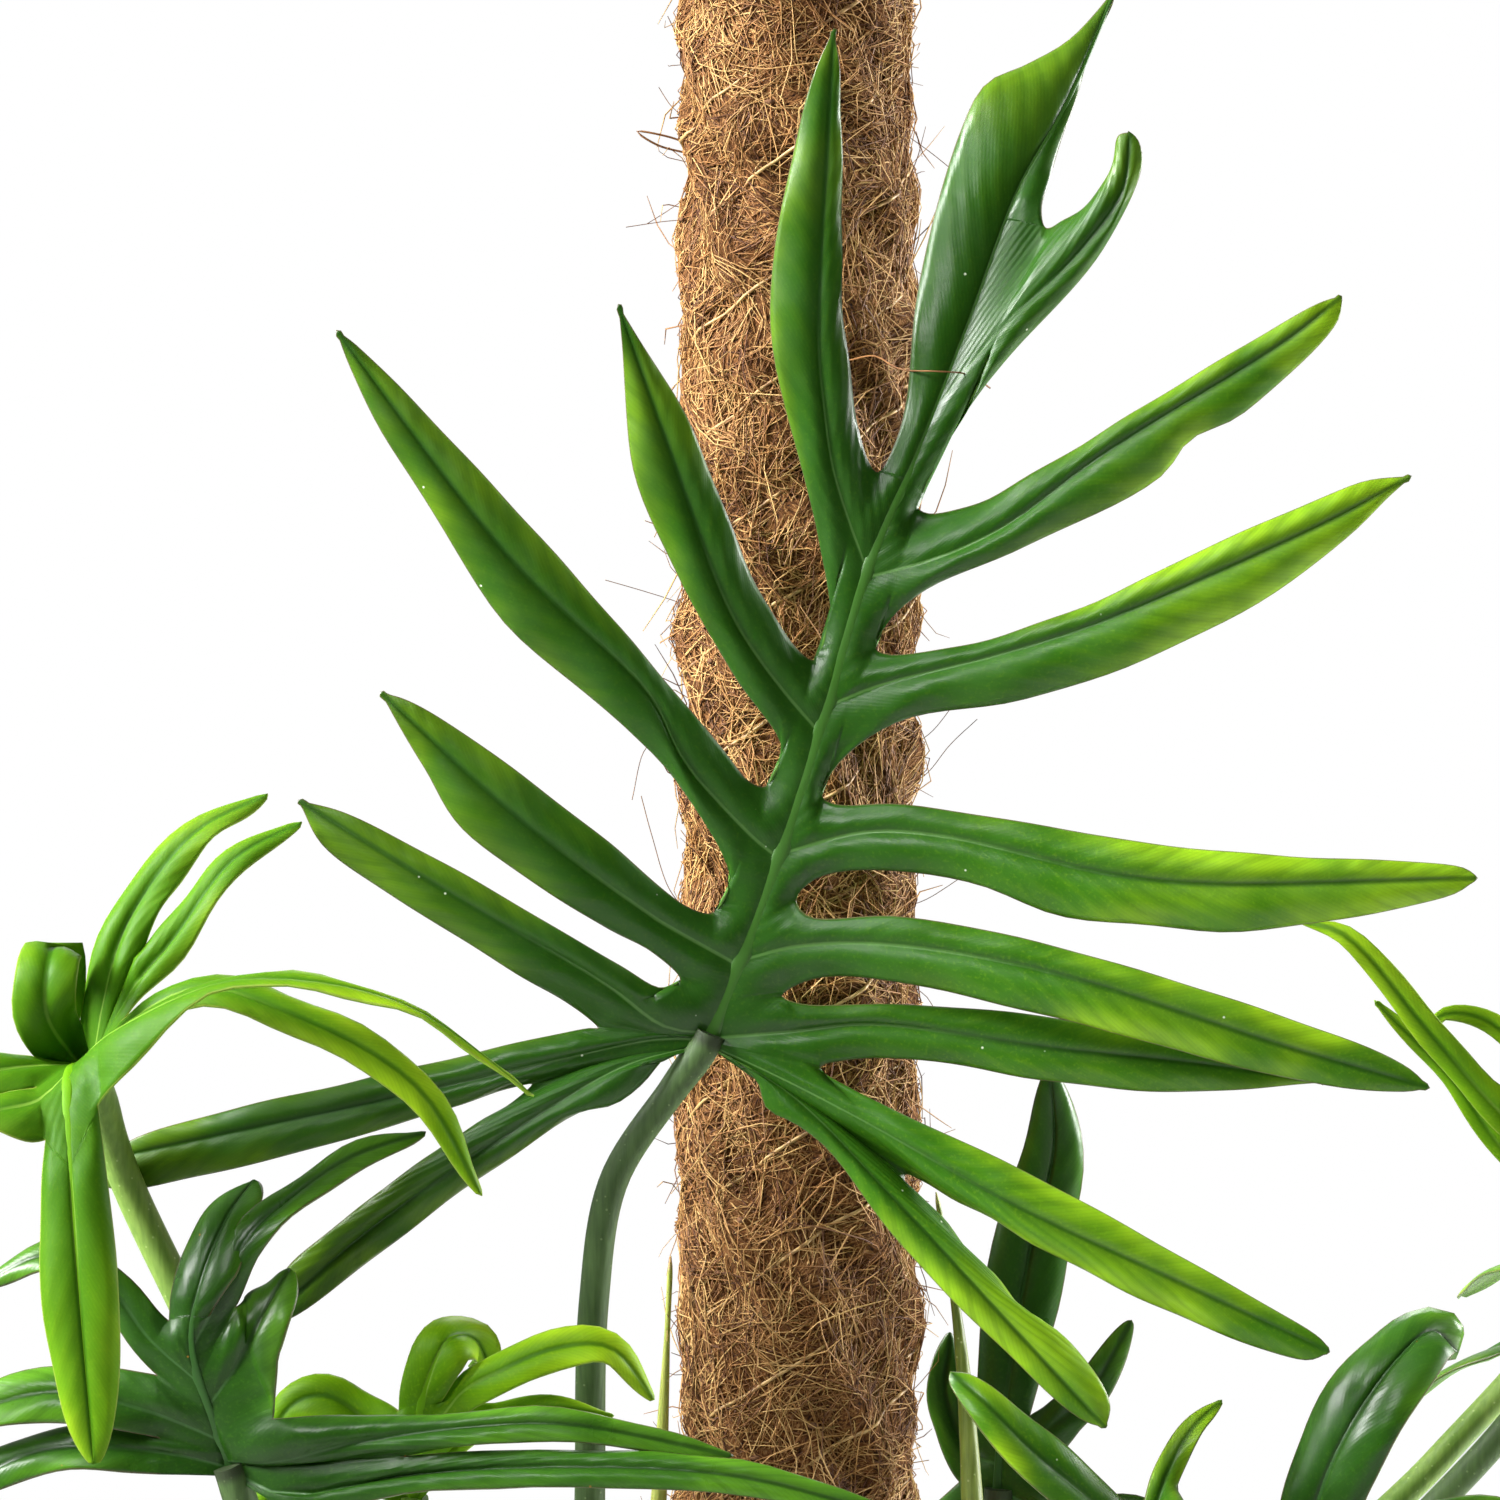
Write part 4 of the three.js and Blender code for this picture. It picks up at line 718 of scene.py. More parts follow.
@dataclass(frozen=True)
class LobeRule:
    """How every ribbon lobe is cut: its taper, ripple and cup."""

    wave: float = 0.9
    ripple: float = 9.0
    cup: float = 0.12
    end_start: float = 0.15
    end_cup: float = 0.1

    @staticmethod
    def profile(fraction: Array) -> Array:
        """The half-width at a length fraction, as a share of the greatest."""
        fraction = np.clip(fraction, 0, 1)
        return (1 - fraction) ** 0.6 * (0.6 + 1.3 * fraction) / 0.83

    def ribbon(self, rachis: Path, side: int, lobe: RibbonLobe, facing: Array, phase: float) -> Lobe:
        """Gives a rib its two margins.

        Args:
            rachis: The leaf's midrib.
            side: 1 on the leaf's right and -1 on its left.
            lobe: The lobe, its rib in space.
            facing: The direction that the upper side faces.
            phase: Where the margin's ripple starts, in radians.

        Returns:
            The lobe in space.
        """
        curve = Path(np.vstack([rachis.at(lobe.at), lobe.rib]))

        def margin(sign: int, neck: float) -> Reader:
            """The margin on one side of the rib."""
            def read(along: Array) -> Array:
                """Its points at fractions from the neck to the tip."""
                s = neck + (1 - neck) * along
                across = unit(np.cross(curve.tangent(s), facing))
                half = -sign * side * lobe.width * self.profile(s)
                lift = self.wave * np.sin(phase + sign + self.ripple * along) * np.sin(np.pi * along)
                return curve.at(s) + across * half[:, None] + facing * (lift - self.cup * lobe.width)[:, None]
            return read

        return Lobe(lobe.at, sum(lobe.necks) / 2, curve.length, curve.at,
                    margin(-1, lobe.necks[0]), margin(1, lobe.necks[1]))

    def ribbon_end(self, rachis: Path, side: int, start: float, width: float, facing: Array) -> Reader:
        """The margin of an end lobe that follows the midrib.

        Args:
            rachis: The leaf's midrib.
            side: 1 on the leaf's right and -1 on its left.
            start: The fraction of the midrib at which it starts.
            width: Its greatest half-width, in mm.
            facing: The direction that the upper side faces.

        Returns:
            A reader of the margin from its sinus to the tip.
        """
        def read(along: Array) -> Array:
            """Its points at fractions from the sinus to the tip."""
            s = start + (1 - start) * along
            half = side * width * self.profile(self.end_start + (1 - self.end_start) * along)
            across = unit(np.cross(rachis.tangent(s), facing))
            return rachis.at(s) + across * half[:, None] - facing * self.end_cup * width
        return read


@dataclass(frozen=True)
class BigLeafRule:
    """Where the big leaf hangs in the front view, and how its outlines get their depth."""

    x: float = -23.0
    z: float = 674.0
    fold: float = 0.14
    foot: float = 350.0
    billow: float = 8.0
    level: float = 0.6
    least_neck: float = 0.12
    most_neck: float = 0.45

    def place(self, flat: Array, depth: Array) -> Array:
        """Puts outline points at a depth."""
        return VIEW.place(flat[..., 0] + self.x, flat[..., 1] + self.z, depth)

    def neck(self, rib: Path, minus: Point, plus: Point) -> float:
        """The fraction of a rib at which it crosses the line between its two sinuses."""
        across = np.subtract(plus, minus)
        fractions = np.linspace(0, 1, 101)
        away = rib.at(fractions)[:, :2] - minus
        turned = np.sign(across[0] * away[:, 1] - across[1] * away[:, 0])
        changed = np.flatnonzero(turned[1:] != turned[0])
        return min(fractions[changed[0] + 1], self.most_neck) if len(changed) else self.least_neck

    def lobe(self, rachis: Path, lobe: OutlinedLobe, below: Point | None, above: Point | None) -> Lobe:
        """Puts an outlined lobe into space.

        Args:
            rachis: The midrib.
            lobe: Its outlines.
            below: The next point of the outline beyond its lower sinus, which rounds the sinus.
            above: The same beyond its upper sinus.

        Returns:
            The lobe.
        """
        rib = Path(np.array(lobe.rib))
        attach = rachis.nearest(self.place(np.array(lobe.rib[0]), rachis.at(0)[1]))
        base = rachis.at(attach)[1]
        neck = self.neck(rib, lobe.minus[0], lobe.plus[0])

        def depth(s: Array) -> Array:
            """The rib's depth along the lobe."""
            return base - lobe.rise * np.sin(np.pi * np.clip(s, 0, 1)) - lobe.lift * s * s

        def middle(s: Array) -> Array:
            """Points of the rib, which starts on the midrib."""
            s = np.asarray(s, float)
            start = rachis.at(attach) - self.place(rib.at(0), depth(0.0))
            return self.place(rib.at(s), depth(s)) + start * np.clip(1 - s / 0.15, 0, 1)[..., None]

        def margin(points: list[Point], before: Point | None) -> Reader:
            """One margin of the lobe."""
            outline = Path(np.array([*points, lobe.rib[-1]]), before)

            def read(along: Array) -> Array:
                """Its points at fractions from the sinus to the tip."""
                flat, s = outline.at(along), neck + (1 - neck) * along
                away = np.linalg.norm(flat - rib.at(s), axis=-1)
                return self.place(flat, depth(s) + self.fold * away)
            return read

        return Lobe(attach, neck, rib.length, middle, margin(lobe.minus, below), margin(lobe.plus, above))

    def end(self, rachis: Path, outline: list[Point], below: Point) -> tuple[float, Reader]:
        """The end lobe's outline on one side.

        Args:
            rachis: The midrib.
            outline: Its points from the last sinus up, without the tip.
            below: The next point of the outline beyond that sinus.

        Returns:
            Where it starts on the midrib, and a reader of its margin.
        """
        flat = Path(np.array([*outline, BIG_RACHIS[-1][:2]]), below)
        start = rachis.nearest(self.place(np.array(outline[0]), rachis.at(self.level)[1]))

        def read(along: Array) -> Array:
            """Its points at fractions from the sinus to the tip."""
            spine = rachis.at(start + (1 - start) * along)[..., 1]
            return self.place(flat.at(along), spine + self.fold * self.billow * np.sin(np.pi * along))
        return start, read


@dataclass(frozen=True)
class FanRule:
    """The rule of the leaves outside the photograph: a drooping midrib with paired lobes."""

    rachis: float = 175.0
    steps: int = 6
    droop: float = 62.0
    lobe: float = 118.0
    width: float = 10.0
    lift: float = 10.0
    spread: tuple[float, float] = (132.0, 42.0)
    reach: tuple[float, ...] = (0.66, 0.85, 1.0, 0.8)
    end_from: float = 0.66
    first_lobe: float = 0.03
    lobe_span: float = 0.5
    stagger: float = 0.012
    neck: float = 0.18
    rib_steps: int = 4
    forward: float = 0.07
    sag: float = 0.2
    sag_more: float = 0.15
    scatter: float = 6.0
    length_scatter: float = 0.08
    wave_scatter: float = 3.0
    lead: tuple[float, float] = (-16.0, -8.0)

    def midrib(self, leaf: RuledLeaf) -> tuple[Path, Array]:
        """The leaf's midrib, and the direction that its upper side faces."""
        turn = math.radians(leaf.heading)
        level = np.array([math.cos(turn), math.sin(turn), 0])
        up = np.array([0, 0, 1.0])
        points = [np.array(leaf.junction, float)]
        for i in range(self.steps):
            angle = math.radians(leaf.pitch - self.droop * i / (self.steps - 1))
            step = level * math.cos(angle) + up * math.sin(angle)
            points.append(points[-1] + step * self.rachis * leaf.size / self.steps)
        tilt = math.radians(leaf.pitch - self.droop / 2)
        return Path(np.array(points)), up * math.cos(tilt) - level * math.sin(tilt)

    def lobes(self, leaf: RuledLeaf) -> list[list[tuple[RibbonLobe, float]]]:
        """The lobes of the right and of the left side, each with the start of its ripple."""
        draw = scatter(leaf.seed)
        rachis, facing = self.midrib(leaf)
        return [[self._lobe(leaf, rachis, facing, side, i, draw) for i in range(len(self.reach))]
                for side in (1, -1)]

    def _lobe(self, leaf: RuledLeaf, rachis: Path, facing: Array, side: int, index: int,
              draw: Draw) -> tuple[RibbonLobe, float]:
        """Grows one rib step by step, bent forward and down.

        Args:
            leaf: The leaf.
            rachis: Its midrib.
            facing: The direction that the upper side faces.
            side: 1 on the right and -1 on the left.
            index: Which lobe from the base.
            draw: The source of scatter.

        Returns:
            The lobe, and where its ripple starts, in radians.
        """
        share = index / (len(self.reach) - 1)
        attach = self.first_lobe + self.lobe_span * share + self.stagger * (side + 1)
        angle = math.radians(self.spread[0] + (self.spread[1] - self.spread[0]) * share
                             + self.scatter * draw())
        along = rachis.tangent(attach)
        across = unit(np.cross(along, facing)) * side
        step = along * math.cos(angle) + across * math.sin(angle) + facing * math.sin(math.radians(self.lift))
        length = self.lobe * leaf.size * self.reach[index] * (1 + self.length_scatter * draw())
        point, rib = rachis.at(attach), []
        for k in range(self.rib_steps):
            step = unit(step)
            point = point + step * length / self.rib_steps
            rib.append(point)
            step = step + along * self.forward
            step[2] -= (self.sag + self.sag_more * k) / 2
        phase = self.wave_scatter * draw()
        necks = (self.neck, self.neck)
        return RibbonLobe(attach, self.width * leaf.size, np.array(rib), necks), phase


@dataclass(frozen=True)
class Weave:
    """How finely a blade is meshed: rows and columns from 0 at the rib to 1 at the margin."""

    rows: int
    end_rows: int
    outs: tuple[float, ...]
    columns: tuple[float, ...]

    def across(self) -> tuple[Array, Array]:
        """The side, 0 or 1, and the distance from the rib of the columns, from margin to margin."""
        half = np.array(self.columns)
        signed = np.concatenate([-half[:0:-1], half])
        return (signed > 0).astype(int), np.abs(signed)


FINE = Weave(44, 46, (0, 0.08, 0.2, 0.36, 0.54, 0.7, 0.85, 1), (0, 0.05, 0.12, 0.27, 0.48, 0.7, 0.88, 1))
PLAIN = Weave(24, 26, (0, 0.12, 0.35, 0.65, 1), (0, 0.1, 0.3, 0.6, 0.86, 1))


@dataclass(frozen=True)
class Relief:
    """How a blade stands out from the even sheet, in mm or as a share of a lobe's half-width."""

    pillow: float = 0.17
    web: float = 1.5
    groove: float = 0.42
    ridge: float = 0.2
    wave: float = 0.6
    wave_length: float = 29.0
    widest: float = 12.0
    end_widest: float = 14.0

    def pillows(self, c: Array, width: Array) -> Array:
        """Height of the pillow on each side of a rib, c going from 0 at the rib to 1 at the margin."""
        return self.pillow * width * 3.2 * c * (1 - c) * (1.3 - 0.6 * c)

    def crest(self, out: Array) -> Array:
        """Height of the web beside the midrib, out going from 0 at the midrib to 1 at the web's rim."""
        return self.web * (1 - out) * np.sin(np.pi * out)

    def ripple(self, c: Array, y: Array, phase: float) -> Array:
        """Height of the waves that grow towards the margin, y being mm along the rib."""
        return self.wave * c * c * np.sin(2 * np.pi * y / self.wave_length + phase)

    def rib(self, x: Array, reach: Array) -> Array:
        """The raised rib near the base, and the groove that it turns into, x being mm from the rib."""
        out = smoothstep((reach - 0.1) / 0.25)
        near = np.exp(-(x / 0.6) ** 2)
        wide = np.exp(-(x / 1.5) ** 2)
        return self.ridge * near * (1 - out) - self.groove * wide * np.clip(1.15 - reach, 0, 1)


@dataclass
class Sheet:
    """Collects grids of points, and welds them into one slab with its pattern values.

    The values are: mm from the rib, mm along it, reach to the tip, mm to the margin, and relief.
    """

    points: list[Array] = field(default_factory=list)
    values: list[Array] = field(default_factory=list)
    faces: list[Array] = field(default_factory=list)
    count: int = 0
    weld_steps: int = 40

    def grid(self, points: Array, values: list[Array]) -> None:
        """Adds a grid of rows and columns of points, with the values of each."""
        rows, columns = points.shape[:2]
        number = np.arange(rows * columns).reshape(rows, columns) + self.count
        self.faces.append(np.stack(
            [number[:-1, :-1], number[:-1, 1:], number[1:, 1:], number[1:, :-1]], -1).reshape(-1, 4))
        spread = [np.broadcast_to(v, (rows, columns)).ravel() for v in values]
        self.points.append(points.reshape(-1, 3))
        self.values.append(np.stack(spread, -1))
        self.count += rows * columns

    def slab(self, thickness: float, facing: Array) -> tuple[Array, list, Array]:
        """Welds the grids, and gives the sheet its relief and thickness.

        Args:
            thickness: In mm.
            facing: The direction that the upper side faces.

        Returns:
            The points, the faces and the values, the last with 1 for the under side.
        """
        points, values = np.vstack(self.points), np.vstack(self.values)
        first, number = welded(points, self.weld_steps)
        points, values = points[first], values[first]
        faces = number[np.vstack(self.faces)]
        area = np.cross(points[faces[:, 2]] - points[faces[:, 0]], points[faces[:, 3]] - points[faces[:, 1]])
        if (area @ facing).sum() < 0:
            faces, area = faces[:, ::-1], -area
        normals = np.zeros_like(points)
        for corner in faces.T:
            np.add.at(normals, corner, area)
        normals = unit(normals)
        count = len(points)
        middle = points + normals * values[:, 4:]
        both = np.vstack([middle + normals * thickness / 2, middle - normals * thickness / 2])
        upper = polygons(faces)
        edges = {edge for face in upper for edge in zip(face, face[1:] + face[:1], strict=True)}
        rim = [(b, a, a + count, b + count) for a, b in edges if (b, a) not in edges]
        under = [tuple(number + count for number in reversed(face)) for face in upper]
        values = np.vstack([np.column_stack([values[:, :4], np.full(count, side)]) for side in (0.0, 1.0)])
        return both, upper + under + sorted(rim), values


@dataclass(frozen=True)
class Blade:
    """A leaf blade: the web along the midrib, the lobes and the end lobe of both sides."""

    rachis: Path
    facing: Array
    halves: tuple[Half, Half]
    weave: Weave
    size: float = 1.0
    thickness: float = 0.55
    tip: float = 0.9
    pull: float = 0.3
    relief: Relief = Relief()

    def mesh(self, name: str) -> Mesh:
        """Builds the two halves and the midrib that covers their seam.

        Args:
            name: The mesh's name.

        Returns:
            The mesh, with the attributes vein, edge and under.
        """
        parts = [self._half(half) for half in self.halves] + [self._midrib()]
        points, faces, values, count = [], [], [], 0
        for part_points, part_faces, part_values in parts:
            points.append(part_points)
            values.append(part_values)
            faces += [tuple(number + count for number in face) for face in part_faces]
            count += len(part_points)
        values = np.vstack(values)
        mesh = mesh_of(name, np.vstack(points), faces)
        for attribute, columns in (("vein", values[:, :3]), ("edge", values[:, 3]), ("under", values[:, 4])):
            note(mesh, attribute, columns)
        return mesh

    def _half(self, half: Half) -> tuple[Array, list, Array]:
        """One side of the blade as a slab."""
        sheet = Sheet()
        feet = [0.0, *((a.attach + b.attach) / 2 for a, b in zip(half.lobes, half.lobes[1:], strict=False)),
                half.end_from]
        start = np.zeros(1)
        inner = [(a.plus(start) + b.minus(start))[0] / 2
                 for a, b in zip(half.lobes, half.lobes[1:], strict=False)]
        last = (half.lobes[-1].plus(start) + half.end(start))[0] / 2
        sinuses = [half.lobes[0].minus(start)[0], *inner, last]
        for i, lobe in enumerate(half.lobes):
            margins = (self._pulled(lobe.minus, sinuses[i]), self._pulled(lobe.plus, sinuses[i + 1]))
            self._web(sheet, lobe, feet[i:i + 2], sinuses[i:i + 2])
            self._lobe(sheet, lobe, margins, 1.9 * i)
        self._end(sheet, half, self._pulled(half.end, sinuses[-1]))
        return sheet.slab(self.thickness, self.facing)

    def _pulled(self, margin: Reader, sinus: Array) -> Reader:
        """The margin, drawn to its sinus at the start."""
        shift = sinus - margin(np.zeros(1))[0]
        return lambda along: margin(along) + shift * np.clip(1 - along / self.pull, 0, 1)[:, None]

    def _web(self, sheet: Sheet, lobe: Lobe, feet: list[float], sinuses: list[Array]) -> None:
        """Adds the web between the midrib and a lobe's neck."""
        side, away = self.weave.across()
        out = np.array(self.weave.outs)[:, None]
        base = self.rachis.at(lobe.attach + (np.array(feet)[side] - lobe.attach) * away)
        neck = lobe.rib(np.array([lobe.neck]))[0]
        rim = neck + (np.array(sinuses)[side] - neck) * away[:, None]
        straight = base + (rim - base) * out[..., None]
        middle = lobe.rib(lobe.neck * out[:, 0])
        bow = middle - straight[:, len(away) // 2]
        points = straight + bow[:, None] * (1 - away)[:, None]
        width = np.linalg.norm(points[:, [0, -1]] - middle[:, None], axis=-1)[:, side]
        x = np.linalg.norm(points - middle[:, None], axis=-1)
        reach = lobe.neck * out + 0 * away
        edge = np.min([np.linalg.norm(points - sinus, axis=-1) for sinus in sinuses], axis=0)
        relief = self.relief
        crest = relief.crest(out) * smoothstep(away) * self.size
        pillows = relief.pillows(away, np.minimum(width, relief.widest)) * (1 - smoothstep(away * 2 - 1))
        folds = (pillows + self._valley(points, side, away)) * smoothstep(out)
        lift = crest + folds + relief.rib(x, reach) * smoothstep(out * 4)
        sheet.grid(points, [x, reach * lobe.length, reach, edge, lift])

    def _valley(self, points: Array, side: Array, away: Array) -> Array:
        """The lift that rounds the fold between two neighbouring lobes where their webs meet."""
        height = points @ self.facing
        fall = height[:, [len(away) // 2]] - height[:, [0, -1]][:, side]
        return (away - np.sin(np.pi / 2 * away)) * fall

    def _lobe(self, sheet: Sheet, lobe: Lobe, margins: tuple[Reader, Reader], phase: float) -> None:
        """Adds a lobe from its neck to its tip."""
        side, away = self.weave.across()
        along = self._rows(self.weave.rows)
        s = lobe.neck + (1 - lobe.neck) * along
        middle = lobe.rib(s)[:, None]
        sides = np.stack([margin(along) for margin in margins], 1)
        sides = self._rounded(sides, middle, (1 - s)[:, None] * lobe.length)
        points = middle + (sides[:, side] - middle) * away[:, None]
        points[-1] = middle[-1]
        width = np.linalg.norm(sides - middle, axis=-1)[:, side]
        x = width * away
        y = (s * lobe.length)[:, None]
        reach = s[:, None] + 0 * x
        new = (1 - smoothstep(along * 7))[:, None]
        relief = self.relief
        calm = 1 - smoothstep(away * 2 - 1) * new
        lift = relief.pillows(away, np.minimum(width, relief.widest)) * calm + relief.rib(x, reach)
        lift = lift + self._valley(points, side, away) * new
        lift = lift + relief.ripple(away, y, phase) * smoothstep(along * 6)[:, None]
        lift = lift * smoothstep((1 - along) * 14)[:, None]
        sheet.grid(points, [x, y, reach, width * (1 - away), lift])

    def _end(self, sheet: Sheet, half: Half, margin: Reader) -> None:
        """Adds one side of the end lobe."""
        out = np.array(self.weave.outs)
        along = self._rows(self.weave.end_rows)
        fraction = half.end_from + (1 - half.end_from) * along
        middle = self.rachis.at(fraction)[:, None]
        edge = self._rounded(margin(along)[:, None], middle, (1 - fraction)[:, None] * self.rachis.length)
        points = middle + (edge - middle) * out[:, None]
        points[-1] = middle[-1]
        width = np.linalg.norm(edge - middle, axis=-1)
        x = width * out
        y = ((fraction - half.end_from) * self.rachis.length)[:, None]
        reach = (0.12 + 0.88 * along**1.3)[:, None] + 0 * x
        relief = self.relief
        lift = relief.pillows(out, np.minimum(width, relief.end_widest)) + relief.ripple(out, y, 0.7)
        lift = lift * (smoothstep(along * 9) * smoothstep((1 - along) * 14))[:, None]
        lift = lift + relief.crest(out) * self.size * (1 - smoothstep(along * 5))[:, None]
        across = [np.broadcast_to(v, x.shape).T for v in (x, y, reach, width * (1 - out), lift)]
        sheet.grid(points.transpose(1, 0, 2), across)

    @staticmethod
    def _rows(count: int) -> Array:
        """Fractions from the neck to the tip, closer together at both ends."""
        even = np.linspace(0, 1, count + 1)
        return even + (smoothstep(even) - even) * 0.75

    def _rounded(self, sides: Array, middle: Array, left: Array) -> Array:
        """Rounds a lobe's tip.

        Args:
            sides: Points of its margins.
            middle: Points of its rib.
            left: How far each is from the tip, in mm.

        Returns:
            The margins, moved out near the tip.
        """
        away = np.linalg.norm(sides - middle, axis=-1)
        near = np.minimum(left, self.tip)
        cap = np.sqrt(np.clip(near * (2 * self.tip - near), 0, None))
        wider = np.maximum(away, cap * np.clip(3 - left / self.tip, 0, 1)) / np.maximum(away, 1e-3)
        return middle + (sides - middle) * np.minimum(wider, 6)[..., None]

    def _midrib(self) -> tuple[Array, list, Array]:
        """The raised midrib, which narrows to the tip."""
        sides, steps = 12, 70
        half_base, half_tip, high_base, high_tip = 1.95, 0.4, 0.35, 0.36
        fraction = np.linspace(0.004, 0.995, steps + 1)
        middle = self.rachis.at(fraction)
        along = self.rachis.tangent(fraction)
        across = unit(np.cross(along, self.facing))
        normal = unit(np.cross(across, along))
        half = self.size * (half_base * (1 - fraction) ** 0.6 + half_tip)
        high = self.size * (high_base * (1 - fraction) + high_tip)
        turn = np.linspace(0, 2 * np.pi, sides, endpoint=False)
        rings = (middle[:, None] + across[:, None] * (half[:, None] * np.cos(turn))[..., None]
                 + normal[:, None] * (high[:, None] * np.sin(turn))[..., None])
        number = np.arange((steps + 1) * sides).reshape(steps + 1, sides)
        beside = np.roll(number, -1, 1)
        faces = np.stack([number[:-1], beside[:-1], beside[1:], number[1:]], -1).reshape(-1, 4).tolist()
        faces += [number[0, ::-1].tolist(), number[-1].tolist()]
        spread = [np.zeros_like(number), fraction[:, None] * self.rachis.length, np.full_like(number, -1),
                  np.full_like(number, 9), (np.sin(turn) < -0.4) * 1.0]
        values = np.stack([np.broadcast_to(v, number.shape).ravel() for v in spread], -1)
        return rings.reshape(-1, 3), faces, values.astype(float)


def stops(ramp: bpy.types.NodeOutputs, colours: dict[float, str]) -> Socket:
    """Gives a colour ramp its colours by place, and returns its output."""
    steps = ramp[0].node.color_ramp.elements
    (low, dark), *middle, (high, light) = colours.items()
    steps[0].position, steps[0].color = low, linear(dark)
    steps[1].position, steps[1].color = high, linear(light)
    for place, colour in middle:
        steps.new(place).color = linear(colour)
    return ramp[0]


@dataclass(frozen=True)
class Finish:
    """A real material, dressed by nodes."""

    name: str

    def material(self) -> Material:
        """Makes it, and gives its Principled shader what the surface says."""
        made = bpy.data.materials.new(self.name)
        made.use_nodes = True
        node = partial(add, made.node_tree)
        shader = made.node_tree.nodes["Principled BSDF"].inputs
        wire(made.node_tree, shader, self.surface(node, node("ShaderNodeTexCoord")["Object"]))
        return made

    def surface(self, node: Callable, place: Socket) -> dict[str, Value]:
        """Adds the nodes of the surface.

        Args:
            node: Adds a node to the material.
            place: Object coordinates, in metres.

        Returns:
            What each input of the shader gets, by name.
        """
        raise NotImplementedError


